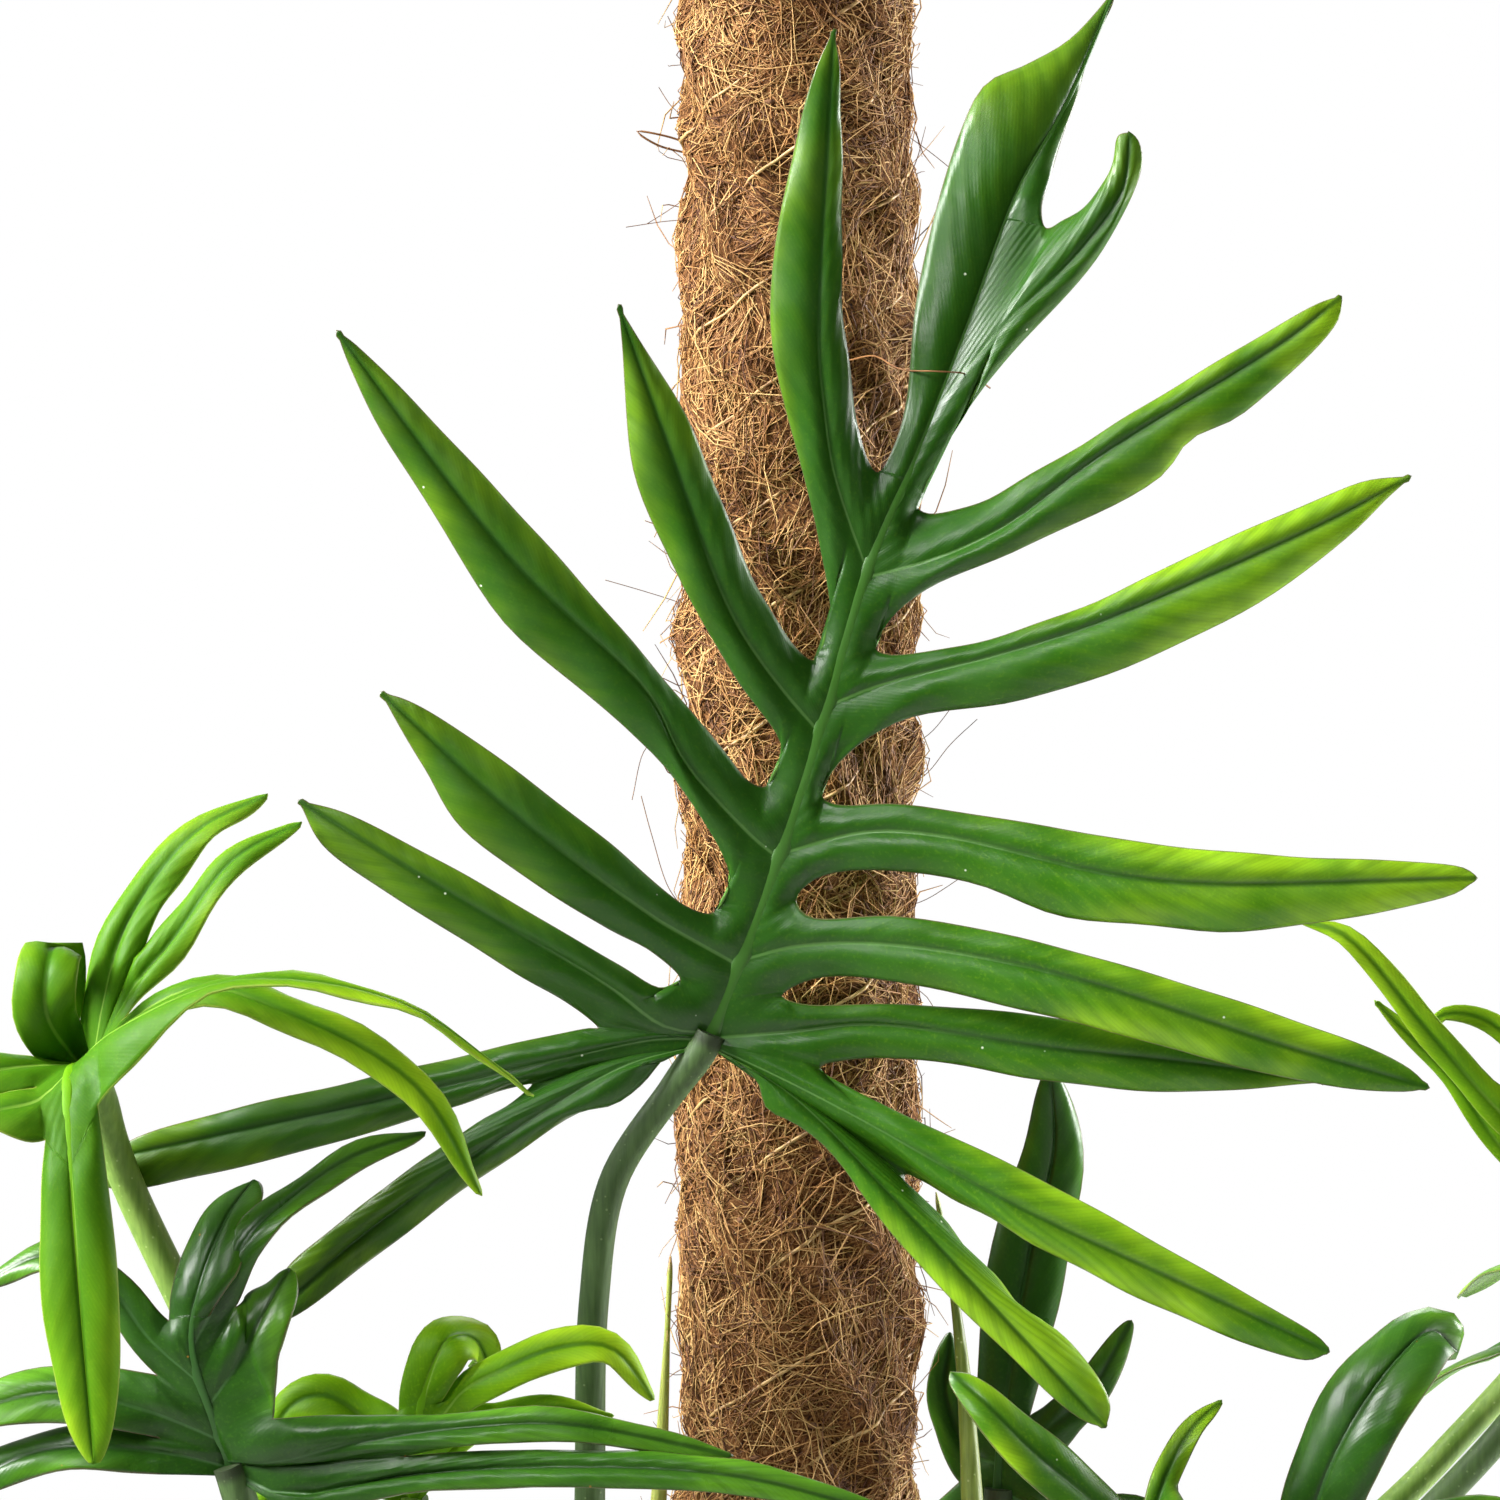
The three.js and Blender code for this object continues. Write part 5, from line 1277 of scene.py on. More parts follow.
@dataclass(frozen=True)
class LeafSkin(Finish):
    """Living philodendron leaf: a waxed skin over thin flesh.

    The wax gives a soft broad gloss, the flesh glows where light comes through, and the ribs, the
    slanting side veins and the paler tips give the colour its pattern. The paler, yellower tips and
    margins are partly the leaf's own colour and partly a painted glow of light shining through them.
    Leaf surfaces towards the upper left are painted darker: painted shade on the side turned from the light.
    """

    deep: str
    body: str
    tip: str
    under: str
    rib: str
    midrib: str
    speck: str
    roughness: float
    glow: float
    margin: str = "#5a4638"
    bands: float = 0.22
    # painted shade: how strongly the upper left of a leaf, turned from the key light, is darkened towards the
    # deep green
    painted_side_shade: float = 0.0
    wax: float = 0.3
    # where that painted shade is full, as x minus half of z in metres; it fades out 0.09 beyond
    painted_side_shade_line: float = -0.37
    vein_step: float = 10.5
    fine_step: float = 1.9
    slant: float = 2.0
    grain: float = 0.45
    speck_cell: float = 11.0

    def surface(self, node: Callable, place: Socket) -> dict[str, Value]:
        """Builds it from the attributes vein, edge and under of a blade.

        The attribute vein holds the distance from the rib and along it in mm, and the reach, which goes
        from 0 at the midrib to 1 at the tip and is -1 on the midrib itself.
        """
        vein = node(STORED, attribute_name="vein")[1]
        edge, under = (node(STORED, attribute_name=name)[2] for name in ("edge", "under"))
        across, along, reach = node("ShaderNodeSeparateXYZ", (vein,))
        down = node(VECTOR, (place, (1.0, 0.0, -0.5)), "DOT_PRODUCT")[1]
        clouds, patches, grain = (
            node(NOISE, {"Vector": place, "Scale": scale, "Detail": detail})[0]
            for scale, detail in ((75.0, 3.0), (26.0, 2.0), (500 / self.grain, 2.0)))

        slanted = node(MATH, (across, -self.slant, along), "MULTIPLY_ADD")[0]
        wander = node(MATH, (clouds, 5.0, slanted), "MULTIPLY_ADD")[0]
        wander = node(MATH, (patches, 30.0, wander), "MULTIPLY_ADD")[0]
        swell, fine = (
            node(MATH, (node(MATH, (value, 2 * math.pi / step), "MULTIPLY")[0],), "SINE")[0]
            for value, step in ((wander, self.vein_step), (slanted, self.fine_step)))
        eased = {name: node(RANGE, given, interpolation_type="SMOOTHSTEP")[0] for name, given in {
            "beside": (across, 0.3, 5.5, 1.0, 0.0),
            "inner": (reach, 0.0, 0.6, 0.75, 0.0),
            "fading": (reach, 0.0, 1.0, 0.6, 0.3),
            "band": (swell, 0.35, 1.0, 0.0, self.bands),
            "patchy": (patches, 0.42, 0.6, 0.15, 1.0),
            "banded": (reach, 0.12, 0.5, 0.0, 1.0),
            "off_rib": (across, 0.8, 4.0, 0.25, 1.0),
            "light_band": (swell, -1.0, 0.0, 0.08, 0.0),
            "outer": (reach, 0.35, 1.0, 0.0, 0.85),
            # painted shade, darker towards the upper left
            "painted_side_shade": (down, self.painted_side_shade_line, self.painted_side_shade_line + 0.09, self.painted_side_shade, 0.0),
            "margin": (edge, 0.0, 6.5, 0.52, 0.0),
            # paler tips and margins: partly the leaf's own yellower colour, partly painted glow of light
            # shining through
            "tip_tint_and_painted_glow": (patches, 0.36, 0.62, 0.1, 1.45),
            "fine": (fine, 0.0, 1.0, 0.0, 0.1),
            "cloudy": (clouds, 0.4, 0.7, 0.0, 0.3),
            "line": (across, 0.15, 0.62, 1.0, 0.0),
            "near_base": (reach, 0.12, 0.55, 0.42, 0.0),
            # painted shade in the rib's groove, from a little way out along the rib to the tip
            "painted_groove_shade": (across, 0.15, 1.1, 1.0, 0.0),
            "farther": (reach, 0.15, 0.5, 0.0, 0.72),
            "rim": (edge, 0.05, 0.4, 0.7, 0.0),
            "mottled": (grain, 0.5, 0.8, 0.0, 0.16),
            "gloss": (clouds, 0.3, 0.75, self.roughness - 0.05, self.roughness + 0.12),
        }.items()}
        shade, banded, band, pale, painted_groove_shade = (
            node(MATH, (eased[one], eased[other]), "MULTIPLY")[0] for one, other in (
                ("beside", "fading"), ("banded", "off_rib"), ("band", "patchy"), ("line", "near_base"),
                ("painted_groove_shade", "farther")))
        shade = node(MATH, (shade, eased["inner"]), "MAXIMUM")[0]
        shade = node(MATH, (banded, band, shade), "MULTIPLY_ADD", use_clamp=True)[0]
        # mixed towards the tip colour: partly own colour, partly painted glow of light through the tips,
        # margins and bands between the veins
        tip_tint_and_painted_glow = node(MATH, (banded, eased["margin"], eased["outer"]), "MULTIPLY_ADD")[0]
        tip_tint_and_painted_glow = node(MATH, (tip_tint_and_painted_glow, eased["tip_tint_and_painted_glow"]), "MULTIPLY")[0]
        tip_tint_and_painted_glow = node(MATH, (banded, eased["light_band"], tip_tint_and_painted_glow), "MULTIPLY_ADD", use_clamp=True)[0]
        on_midrib = node(MATH, (reach, -0.5), "LESS_THAN")[0]
        hidden = node(MATH, (under, 0.8), "MULTIPLY")[0]
        cells = node("ShaderNodeTexVoronoi", {"Vector": place, "Scale": 1000 / self.speck_cell})
        specks = node(RANGE, (cells[0], 0.016, 0.036, 0.75, 0.0))[0]
        colour = linear(self.body)
        # the shares include painted glow towards the tip colour, and painted shade towards the deep colour in
        # the rib's groove and at the upper left
        for share, tint in ((tip_tint_and_painted_glow, self.tip), (shade, self.deep), (eased["fine"], self.deep),
                            (eased["cloudy"], self.body), (eased["mottled"], self.tip),
                            (eased["painted_side_shade"], self.deep), (painted_groove_shade, self.deep),
                            (pale, self.rib), (on_midrib, self.midrib), (eased["rim"], self.margin),
                            (specks, self.speck), (hidden, self.under)):
            colour = node(MIX, {0: share, 6: colour, 7: linear(tint)}, data_type="RGBA")[2]

        height = 0.0
        for value, share in ((grain, 0.22), (fine, -0.04), (swell, -0.3), (clouds, 2.6)):
            height = node(MATH, (value, share, height), "MULTIPLY_ADD")[0]
        bump = node("ShaderNodeBump", {"Strength": 0.5, "Distance": 0.0002, "Height": height})[0]
        return {"Base Color": colour, "Normal": bump, "Roughness": eased["gloss"], "IOR": 1.45,
                "Specular IOR Level": self.wax, "Subsurface Weight": self.glow,
                "Subsurface Radius": (0.5, 1.0, 0.15), "Subsurface Scale": 0.0015}


SKINS = {
    Tone.GREEN: LeafSkin(
        "waxed_green_leaf", deep="#1b400b", body="#356a0d", tip="#86b01a", under="#55812f", rib="#5f8548",
        midrib="#365f20", speck="#dfe8cf", roughness=0.34, glow=0.05, painted_side_shade=0.7),
    Tone.DARK: LeafSkin(
        "glossy_dark_leaf", deep="#143009", body="#27520f", tip="#4d7d1a", under="#3f672a", rib="#456a3c",
        midrib="#284b1d", speck="#a8702a", roughness=0.32, glow=0.05),
    Tone.YOUNG: LeafSkin(
        "young_bright_leaf", deep="#285505", body="#669607", tip="#98bc1c", under="#7ba530", rib="#8fb04a",
        midrib="#56870c", speck="#e6eccb", roughness=0.5, glow=0.14, margin="#7d8a3a", bands=0.12,
        painted_side_shade=0.68, wax=0.12, painted_side_shade_line=-0.5),
}


@dataclass(frozen=True)
class StalkSkin(Finish):
    """Leaf stalk or stem: a firm green rind with fine lengthwise fibres and corky specks.

    The rind is nearly matt and the fibres give faint streaks. The end takes the end colour: on stems and
    sheaths their own browner tips, and where a stalk meets its blade a dark ring that is partly the joint's
    own colour and partly painted shadow of the blade.
    """

    body: str
    shade: str
    end: str
    speck: str
    roughness: float
    glow: float = 0.05
    streak: float = 1.1
    speck_cell: float = 2.6
    ring: tuple[float, float] = (1.6, 4.5)

    def surface(self, node: Callable, place: Socket) -> dict[str, Value]:
        """Builds it on Object coordinates, and darkens the end by the attribute to_end."""
        drawn = node("ShaderNodeMapping", {"Vector": place, "Scale": (1.0, 1.0, 0.06)})[0]
        streaks = node(NOISE, {"Vector": drawn, "Scale": 1000 / self.streak, "Detail": 3.0})[0]
        clouds = node(NOISE, {"Vector": place, "Scale": 60.0, "Detail": 4.0})[0]
        both = node(MATH, (streaks, clouds), "ADD")[0]
        share = node(RANGE, (both, 0.75, 1.3, 0.0, 1.0))[0]
        cells = node("ShaderNodeTexVoronoi", {"Vector": place, "Scale": 1000 / self.speck_cell})
        dots = node(RANGE, (cells[0], 0.08, 0.14, 0.5, 0.0))[0]
        to_end = node(STORED, attribute_name="to_end")[2]
        # the end colour; under a blade it is partly painted shadow of the blade
        ring = node(RANGE, (to_end, *self.ring, 0.85, 0.0), interpolation_type="SMOOTHSTEP")[0]
        colour = linear(self.shade)
        for factor, tint in ((share, self.body), (dots, self.speck), (ring, self.end)):
            colour = node(MIX, {0: factor, 6: colour, 7: linear(tint)}, data_type="RGBA")[2]
        rough = node(RANGE, (clouds, 0.3, 0.7, self.roughness - 0.08, self.roughness + 0.08))[0]
        height = node(MATH, (streaks, dots), "ADD")[0]
        bump = node("ShaderNodeBump", {"Strength": 0.5, "Distance": 0.0003, "Height": height})[0]
        return {"Base Color": colour, "Normal": bump, "Roughness": rough, "Specular IOR Level": 0.4,
                "Subsurface Weight": self.glow, "Subsurface Radius": (0.6, 1.0, 0.2),
                "Subsurface Scale": 0.002}


@dataclass(frozen=True)
class CoirFibre(Finish):
    """Coconut husk fibre: woody, hollow, golden to dark brown, matt with a faint shine along it."""

    name: str = "coconut_fibre"
    dark: str = "#543018"
    middle: str = "#9a6c3a"
    light: str = "#c39f64"

    def surface(self, node: Callable, place: Socket) -> dict[str, Value]:
        """Tints each fibre by its attribute tint, and clumps of them by place."""
        tint = node(STORED, attribute_name="tint")[2]
        clumps = node(NOISE, {"Vector": place, "Scale": 75.0, "Detail": 3.0})[0]
        share = node(MATH, (clumps, 0.9, tint), "MULTIPLY_ADD")[0]
        share = node(MATH, (share, 0.45), "SUBTRACT")[0]
        ramp = node("ShaderNodeValToRGB", (share,))
        return {"Base Color": stops(ramp, {0.0: self.dark, 0.45: self.middle, 1.0: self.light}),
                "Roughness": 0.62, "Specular IOR Level": 0.35}


@dataclass(frozen=True)
class CoirMat(Finish):
    """Pressed coconut fibre seen between the loose ones: dense, rough, brown, with dark gaps."""

    name: str = "pressed_coconut_fibre"
    # the gaps' colour: partly darker fibre, partly painted shade deep between the fibres
    dark: str = "#281609"
    middle: str = "#6b4320"
    light: str = "#aa8152"
    fibre: float = 0.9

    def surface(self, node: Callable, place: Socket) -> dict[str, Value]:
        """Builds it on Object coordinates: stretched noise turned by a slow swirl."""
        swirl = node(NOISE, {"Vector": place, "Scale": 45.0, "Detail": 1.0})[1]
        pushed = node(VECTOR, (swirl, (0.05, 0.05, 0.05), place), "MULTIPLY_ADD")[0]
        drawn = node("ShaderNodeMapping", {"Vector": pushed, "Scale": (1.0, 1.0, 0.2)})[0]
        strands = node(NOISE, {
            "Vector": drawn, "Scale": 1000 / self.fibre, "Detail": 4.0, "Roughness": 0.65})[0]
        ramp = node("ShaderNodeValToRGB", (strands,))
        bump = node("ShaderNodeBump", {"Strength": 1.0, "Distance": 0.0012, "Height": strands})[0]
        # the dark end of the ramp is painted shade in the gaps between strands
        return {"Base Color": stops(ramp, {0.36: self.dark, 0.52: self.middle, 0.7: self.light}),
                "Normal": bump, "Roughness": 0.9, "Specular IOR Level": 0.2}


@dataclass(frozen=True)
class Twine(Finish):
    """Straw-coloured binding yarn of a few twisted plies: satin, darker where dust has settled."""

    name: str = "straw_binding_yarn"
    light: str = "#b4935c"
    dark: str = "#7a5730"
    ply: float = 1.4

    def surface(self, node: Callable, place: Socket) -> dict[str, Value]:
        """Builds it on Object coordinates: fine slanting plies and dusty stretches."""
        dust = node(NOISE, {"Vector": place, "Scale": 55.0, "Detail": 3.0})[0]
        plies = node("ShaderNodeTexWave", {
            "Vector": place, "Scale": 1000 / self.ply / (2 * math.pi), "Distortion": 1.5},
            bands_direction="DIAGONAL")[1]
        share = node(MATH, (plies, 0.35, dust), "MULTIPLY_ADD")[0]
        ramp = node("ShaderNodeValToRGB", (share,))
        bump = node("ShaderNodeBump", {"Strength": 0.7, "Distance": 0.0003, "Height": plies})[0]
        return {"Base Color": stops(ramp, {0.4: self.dark, 0.8: self.light}), "Normal": bump,
                "Roughness": 0.5}


@dataclass(frozen=True)
class Grained(Finish):
    """Moulded plastic or loose earth: one colour broken by grain, with wear where noise is high."""

    colour: str
    worn: str
    grain: float
    relief: float
    rough: tuple[float, float]

    def surface(self, node: Callable, place: Socket) -> dict[str, Value]:
        """Builds it on Object coordinates: a fine grain, slow patches and scuffs."""
        grain = node(NOISE, {"Vector": place, "Scale": 500 / self.grain, "Detail": 4.0})[0]
        patches = node(NOISE, {
            "Vector": place, "Scale": 22.0, "Detail": 6.0, "Roughness": 0.7})[0]
        both = node(MATH, (grain, 0.6, patches), "MULTIPLY_ADD")[0]
        share = node(RANGE, (both, 0.65, 1.0, 0.0, 1.0))[0]
        colours = {0: share, 6: linear(self.colour), 7: linear(self.worn)}
        bump = node("ShaderNodeBump", {"Strength": 0.8, "Distance": self.relief * MM, "Height": grain})[0]
        return {"Base Color": node(MIX, colours, data_type="RGBA")[2], "Normal": bump,
                "Roughness": node(RANGE, (patches, 0.3, 0.7, *self.rough))[0]}


@dataclass(frozen=True)
class Stem:
    """A stem that stands in the soil: its place, and the height of its top."""

    x: float
    y: float
    top: float


STEMS = {"left": Stem(-44, -8, 405), "right": Stem(39, -24, 432), "back": Stem(8, 46, 378)}


@dataclass
class Foliage:
    """All the leaves with their stalks."""

    stalk_radius: float = 3.6
    foot_swell: float = 0.15
    seat: float = 3.0
    drawn_size: float = 0.7
    phase_step: float = 1.7
    lobes: LobeRule = LobeRule()
    big: BigLeafRule = BigLeafRule()
    fan: FanRule = FanRule()
    skins: dict[Tone, Material] = field(default_factory=dict)
    rinds: dict[bool, Material] = field(default_factory=dict)

    def build(self) -> None:
        """Builds every leaf."""
        self.skins = {tone: skin.material() for tone, skin in SKINS.items()}
        # the third colour is the end, which under the blade is partly painted shadow of the blade
        green = StalkSkin("green_stalk_rind", "#496332", "#30471d", "#1d2710", "#7f9460", 0.6)
        young = StalkSkin("young_stalk_rind", "#7f9c45", "#5f8030", "#58782a", "#b9cc84", 0.5, 0.15)
        self.rinds = {False: green.material(), True: young.material()}
        self.big_leaf()
        for leaf in DRAWN_LEAVES:
            self.drawn_leaf(leaf)
        for leaf in RULED_LEAVES:
            self.ruled_leaf(leaf)

    def big_leaf(self) -> None:
        """The big leaf in front of the pole."""
        rachis = Path(VIEW.points(BIG_RACHIS, self.big.x, self.big.z))
        halves = []
        for name in ("right", "left"):
            lobes = BIG_LOBES[name]
            start, margin = self.big.end(rachis, BIG_END[name], lobes[-1].plus[1])
            below = [None, *(lobe.plus[1] for lobe in lobes[:-1])]
            above = [*(lobe.minus[1] for lobe in lobes[1:]), BIG_END[name][1]]
            halves.append(Half(
                [self.big.lobe(rachis, *given) for given in zip(lobes, below, above, strict=True)],
                start, margin))
        blade = Blade(rachis, np.array([0, -1.0, 0]), tuple(halves), FINE)
        stalk = VIEW.points(BIG_STALK, self.big.x, self.big.z)
        self.leaf("big", Tone.GREEN, blade, "left", self.big.foot, stalk, self.stalk_radius)

    def drawn_leaf(self, leaf: DrawnLeaf) -> None:
        """A leaf given by points of the front view."""
        rachis = Path(VIEW.points(leaf.rachis))
        facing = unit(np.array(leaf.facing))
        halves = []
        for side, lobes in ((1, leaf.right), (-1, leaf.left)):
            placed = [RibbonLobe(lobe.at, lobe.width, VIEW.points(lobe.rib), lobe.necks) for lobe in lobes]
            turned = [unit(np.array(lobe.facing)) if lobe.facing else facing for lobe in lobes]
            halves.append(Half(
                [self.lobes.ribbon(rachis, side, lobe, turn, i * self.phase_step)
                 for i, (lobe, turn) in enumerate(zip(placed, turned, strict=True))],
                leaf.end[0], self.lobes.ribbon_end(rachis, side, *leaf.end, facing)))
        blade = Blade(rachis, facing, tuple(halves), PLAIN, self.drawn_size)
        stalk = VIEW.points(leaf.stalk[1:])
        self.leaf(leaf.name, leaf.tone, blade, leaf.stem, leaf.stalk[0][1], stalk, leaf.radius)

    def ruled_leaf(self, leaf: RuledLeaf) -> None:
        """A leaf by rule."""
        rachis, facing = self.fan.midrib(leaf)
        width = self.fan.width * leaf.size
        halves = [Half([self.lobes.ribbon(rachis, side, lobe, facing, phase) for lobe, phase in lobes],
                       self.fan.end_from,
                       self.lobes.ribbon_end(rachis, side, self.fan.end_from, width, facing))
                  for side, lobes in zip((1, -1), self.fan.lobes(leaf), strict=True)]
        blade = Blade(rachis, facing, tuple(halves), PLAIN, leaf.size)
        along, behind = self.fan.lead
        lead = np.array(leaf.junction) + rachis.tangent(0.0) * along + facing * behind
        stalk = np.vstack([leaf.via, lead, leaf.junction])
        self.leaf(leaf.name, Tone.GREEN, blade, leaf.stem, leaf.foot, stalk, self.stalk_radius)

    def leaf(self, name: str, tone: Tone, blade: Blade, stem: str, foot: float, stalk: Array,
             radius: float) -> None:
        """Makes the blade and the stalk of one leaf.

        Args:
            name: The leaf's name, as in the CAD.
            tone: Its green.
            blade: Its blade.
            stem: The stem that carries it.
            foot: The height at which its stalk starts, on the stem's axis.
            stalk: The points that the stalk passes, up to the blade.
            radius: The stalk's radius, in mm.
        """
        show(f"blade_{name}", blade.mesh(f"blade_{name}"), tone.value, (f"blade_{name}",), self.skins[tone])
        seat = blade.rachis.at(self.seat / blade.rachis.length)
        path = Path(np.vstack([(STEMS[stem].x, STEMS[stem].y, foot), stalk, seat]))

        def girth(along: Array) -> Array:
            """The stalk's radius: it swells at its foot and a little under the blade."""
            sheath = 0.5 * np.exp(-along / 12)
            knee = 0.12 * np.exp(-(((path.length - along - 9) / 6) ** 2))
            return radius * (1 + self.foot_swell * (1 - along / path.length) + sheath + knee)

        young = tone is Tone.YOUNG
        mesh = swept(f"stalk_{name}", [path], girth, self.rinds[young])
        show(f"stalk_{name}", mesh, "young_stalk_skin" if young else "stalk_skin", (f"stalk_{name}",))


@dataclass
class Stems:
    """The three stems with their leaf scars, and the two rolled new leaves on top of them."""

    radius: float = 7.5
    taper: float = 2.0
    depth: float = 70.0
    node_every: float = 42.0
    soil: float = 182.0
    tip: float = 0.7

    def build(self) -> None:
        """Builds the stems and the new leaves."""
        rind = StalkSkin("ringed_stem_rind", "#5d7f3c", "#45662c", "#5b4a2a", "#9a8f62", 0.55).material()
        for name, stem in STEMS.items():
            self.stem(name, stem, rind)
        for name, radius, *finish in (
            ("left", 4.2, "yellow_green_sheath", "#a9ac55", "#8a9440", "#b08a6a", "#c9c98c", 0.45, 0.25, 0.8),
            ("right", 4.6, "cream_green_sheath", "#7f8c3c", "#4c5c1c", "#b6b27a", "#b9bf86", 0.45, 0.2, 0.8),
        ):
            self.horn(name, STEMS[name], NEW_LEAVES[name], radius, StalkSkin(*finish).material())

    def stem(self, name: str, stem: Stem, rind: Material) -> None:
        """One stem, ringed by the scars of old leaves."""
        foot = self.soil - self.depth
        steps = np.linspace(0, 1, 12)
        sway = np.sin(steps * 9 + stem.x) * np.sin(np.pi * steps)
        points = np.stack([stem.x + 0.8 * sway, stem.y - 0.6 * sway, foot + (stem.top - foot) * steps], -1)
        path = Path(points)

        def girth(along: Array) -> Array:
            """The radius: tapered, with a sharp ring at each scar and a rounded top."""
            ring = np.abs((along / self.node_every + 0.5) % 1 - 0.5) * self.node_every
            body = self.radius - self.taper * along / path.length + 1.1 * np.exp(-(ring / 2.2) ** 2)
            return body * np.sqrt(np.clip((path.length - along) / 5, 0.02, 1))

        mesh = swept(f"stem_{name}", [path], girth, rind, 1.5, 20)
        show(f"stem_{name}", mesh, "stem_skin", (f"stem_{name}",))

    def horn(self, name: str, stem: Stem, points: list[Point], radius: float,
             rind: Material) -> None:
        """A rolled new leaf in its sheath."""
        seat = np.array([stem.x, stem.y, stem.top - 2])
        path = Path(np.vstack([seat, seat + (0, 0, 2 * self.radius), VIEW.points(points)]))

        def girth(along: Array) -> Array:
            """The radius, narrowing to the tip."""
            share = along / path.length
            return np.maximum(self.tip * np.sqrt(np.clip((1 - share) * 60, 0.05, 1)), radius * (1 - share**2))

        mesh = swept(f"new_leaf_{name}", [path], girth, rind, 2.5, 18)
        show(f"new_leaf_{name}", mesh, "sheath_skin", (f"new_leaf_{name}",))


@dataclass(frozen=True)
class Layer:
    """One layer of loose fibres: how many, from where to where, their size, rise and bends."""

    count: int
    low: float
    high: float
    length: float
    girth: float
    rise: float
    points: int
    seed: int


@dataclass
class CoirPole:
    """The coir pole: a pressed sleeve, loose fibres, flecks of pith and the binding yarn."""

    top: float = 985.0
    radius: float = 28.2
    bulge: float = 1.0
    bore: float = 20.3
    foot: float = 3.6
    shoulder: float = 972.0
    sides: int = 80
    row: float = 4.0
    lump: float = 0.34
    pinch: float = 1.0
    soil: float = 184.0
    pitch: float = 109.0
    first: float = 215.0
    windings: int = 4
    yarn: float = 0.46
    swirl_scale: float = 38.0
    swirl_turn: float = 15.0
    crossing: float = 0.62
    bow: float = 0.22
    kink_scale: float = 110.0
    kink: float = 11.0
    stray_share: float = 0.035
    stray_reach: float = 11.0
    dive: float = 0.7
    probe: float = 60.0
    over_top: float = 44.0
    layers: dict[str, Layer] = field(default_factory=lambda: {
        "low": Layer(4900, 184.0, 560.0, 27.0, 0.24, 1.7, 4, 5),
        "inner": Layer(7800, 548.0, 1012.0, 22.0, 0.2, 0.8, 4, 17),
        "outer": Layer(7400, 548.0, 1012.0, 24.0, 0.16, 1.8, 5, 29),
        "fine": Layer(7000, 548.0, 1012.0, 17.0, 0.13, 1.3, 5, 43),
    })

    def build(self) -> None:
        """Builds the sleeve first, because the rest lies on it."""
        sleeve = show("coir_sleeve", self.sleeve(), "coir", ("pole_coir",), CoirMat().material())
        fibre = CoirFibre().material()
        recipe = self.fibre_recipe()
        seedling = bpy.data.meshes.new("fibre_seed")
        for name, layer in self.layers.items():
            values = {"Count": layer.count, "Low": layer.low * MM, "High": layer.high * MM,
                      "Length": layer.length * MM, "Girth": layer.girth * MM, "Rise": layer.rise * MM,
                      "Points": layer.points, "Seed": layer.seed, "Sleeve": sleeve, "Material": fibre}
            show(f"coir_fibres_{name}", recipe.grow(f"coir_fibres_{name}", seedling, values), "coir")
        pith = Grained("coconut_pith", "#6f4a2b", "#4a2e18", 0.6, 0.2, (0.8, 0.95)).material()
        flecks = self.fleck_recipe().grow("coir_flecks", sleeve.data.copy(), {
            "Density": 1500.0, "Size": 1.2 * MM, "Seed": 4, "Material": pith})
        show("coir_flecks", flecks, "coir")
        self.binding(Twine().material())
        self.strays(fibre)

    def radius_at(self, turn: Array, z: Array) -> Array:
        """The sleeve's radius: two slow waves, many small lumps, and the waist under each winding."""
        slow = 0.6 * np.sin(2 * turn + z / 31) + 0.4 * np.cos(3 * turn - z / 43)
        radius = self.radius + self.bulge * slow
        draw = scatter(71)
        for k in range(26):
            waves, pace = 1 + k % 11, 3.2 + 5 * abs(draw())
            radius = radius + self.lump * (1 + draw() * 0.5) * np.sin(waves * turn + z / pace + 9 * draw())
        step = self.pitch / self.windings
        away = (z - self.first - self.pitch * turn / (2 * np.pi) + step / 2) % step - step / 2
        return radius - self.pinch * np.exp(-(away / 3.2) ** 2)

    def sleeve(self) -> Mesh:
        """The pressed sleeve with its closed, rounded top and the bore for the pipe."""
        rise = self.shoulder - self.foot
        count = round(rise / self.row)
        wall = [(self.radius, self.foot + rise * i / count) for i in range(count + 1)]
        bend = np.linspace(0, np.pi / 2, 9)[1:]
        high = self.top - self.shoulder - 1.0
        dome = [(self.radius * (0.35 + 0.65 * math.cos(a)), self.shoulder + high * math.sin(a)) for a in bend]
        floor = self.top - 9.0
        profile = [(self.bore, self.foot), *wall, *dome, (0, self.top - 0.8), (0, floor), (self.bore, floor)]
        points, faces = lathe(profile, self.sides)
        flat = np.hypot(points[:, 0], points[:, 1])
        turn = np.arctan2(points[:, 1], points[:, 0])
        grown = self.radius_at(turn, points[:, 2]) - self.radius
        grown = grown * np.clip((flat - self.bore) / 7, 0, 1)
        points[:, :2] *= (1 + grown / np.maximum(flat, 1))[:, None]
        return mesh_of("coir_sleeve", points, faces)

    def fibre_recipe(self) -> Recipe:
        """Loose fibres that lie on the sleeve in swirls, dive in at their ends, and now and then stray."""
        recipe = Recipe("loose_coir", {
            "Count": "Int", "Low": "Float", "High": "Float", "Length": "Float", "Girth": "Float",
            "Rise": "Float", "Points": "Int", "Seed": "Int", "Sleeve": "Object"})
        start, node = recipe.start, recipe.node
        around = math.pi * self.radius * MM
        drawn = {}
        for step, (name, low, high) in enumerate((
                ("x", -around, around), ("y", start["Low"], start["High"]), ("turn", -7.75, -7.25),
                ("crosses", 0.0, 1.0), ("cross", -1.5, 1.5), ("tint", 0.0, 1.0), ("bend", -1.0, 1.0),
                ("layer", 0.0, 1.0), ("luck", 0.0, 1.0), ("size", 0.45, 1.5))):
            seed = node(MATH, (start["Seed"], float(step)), "ADD")[0]
            drawn[name] = node("FunctionNodeRandomValue", {2: low, 3: high, 8: seed}, data_type="FLOAT")[1]

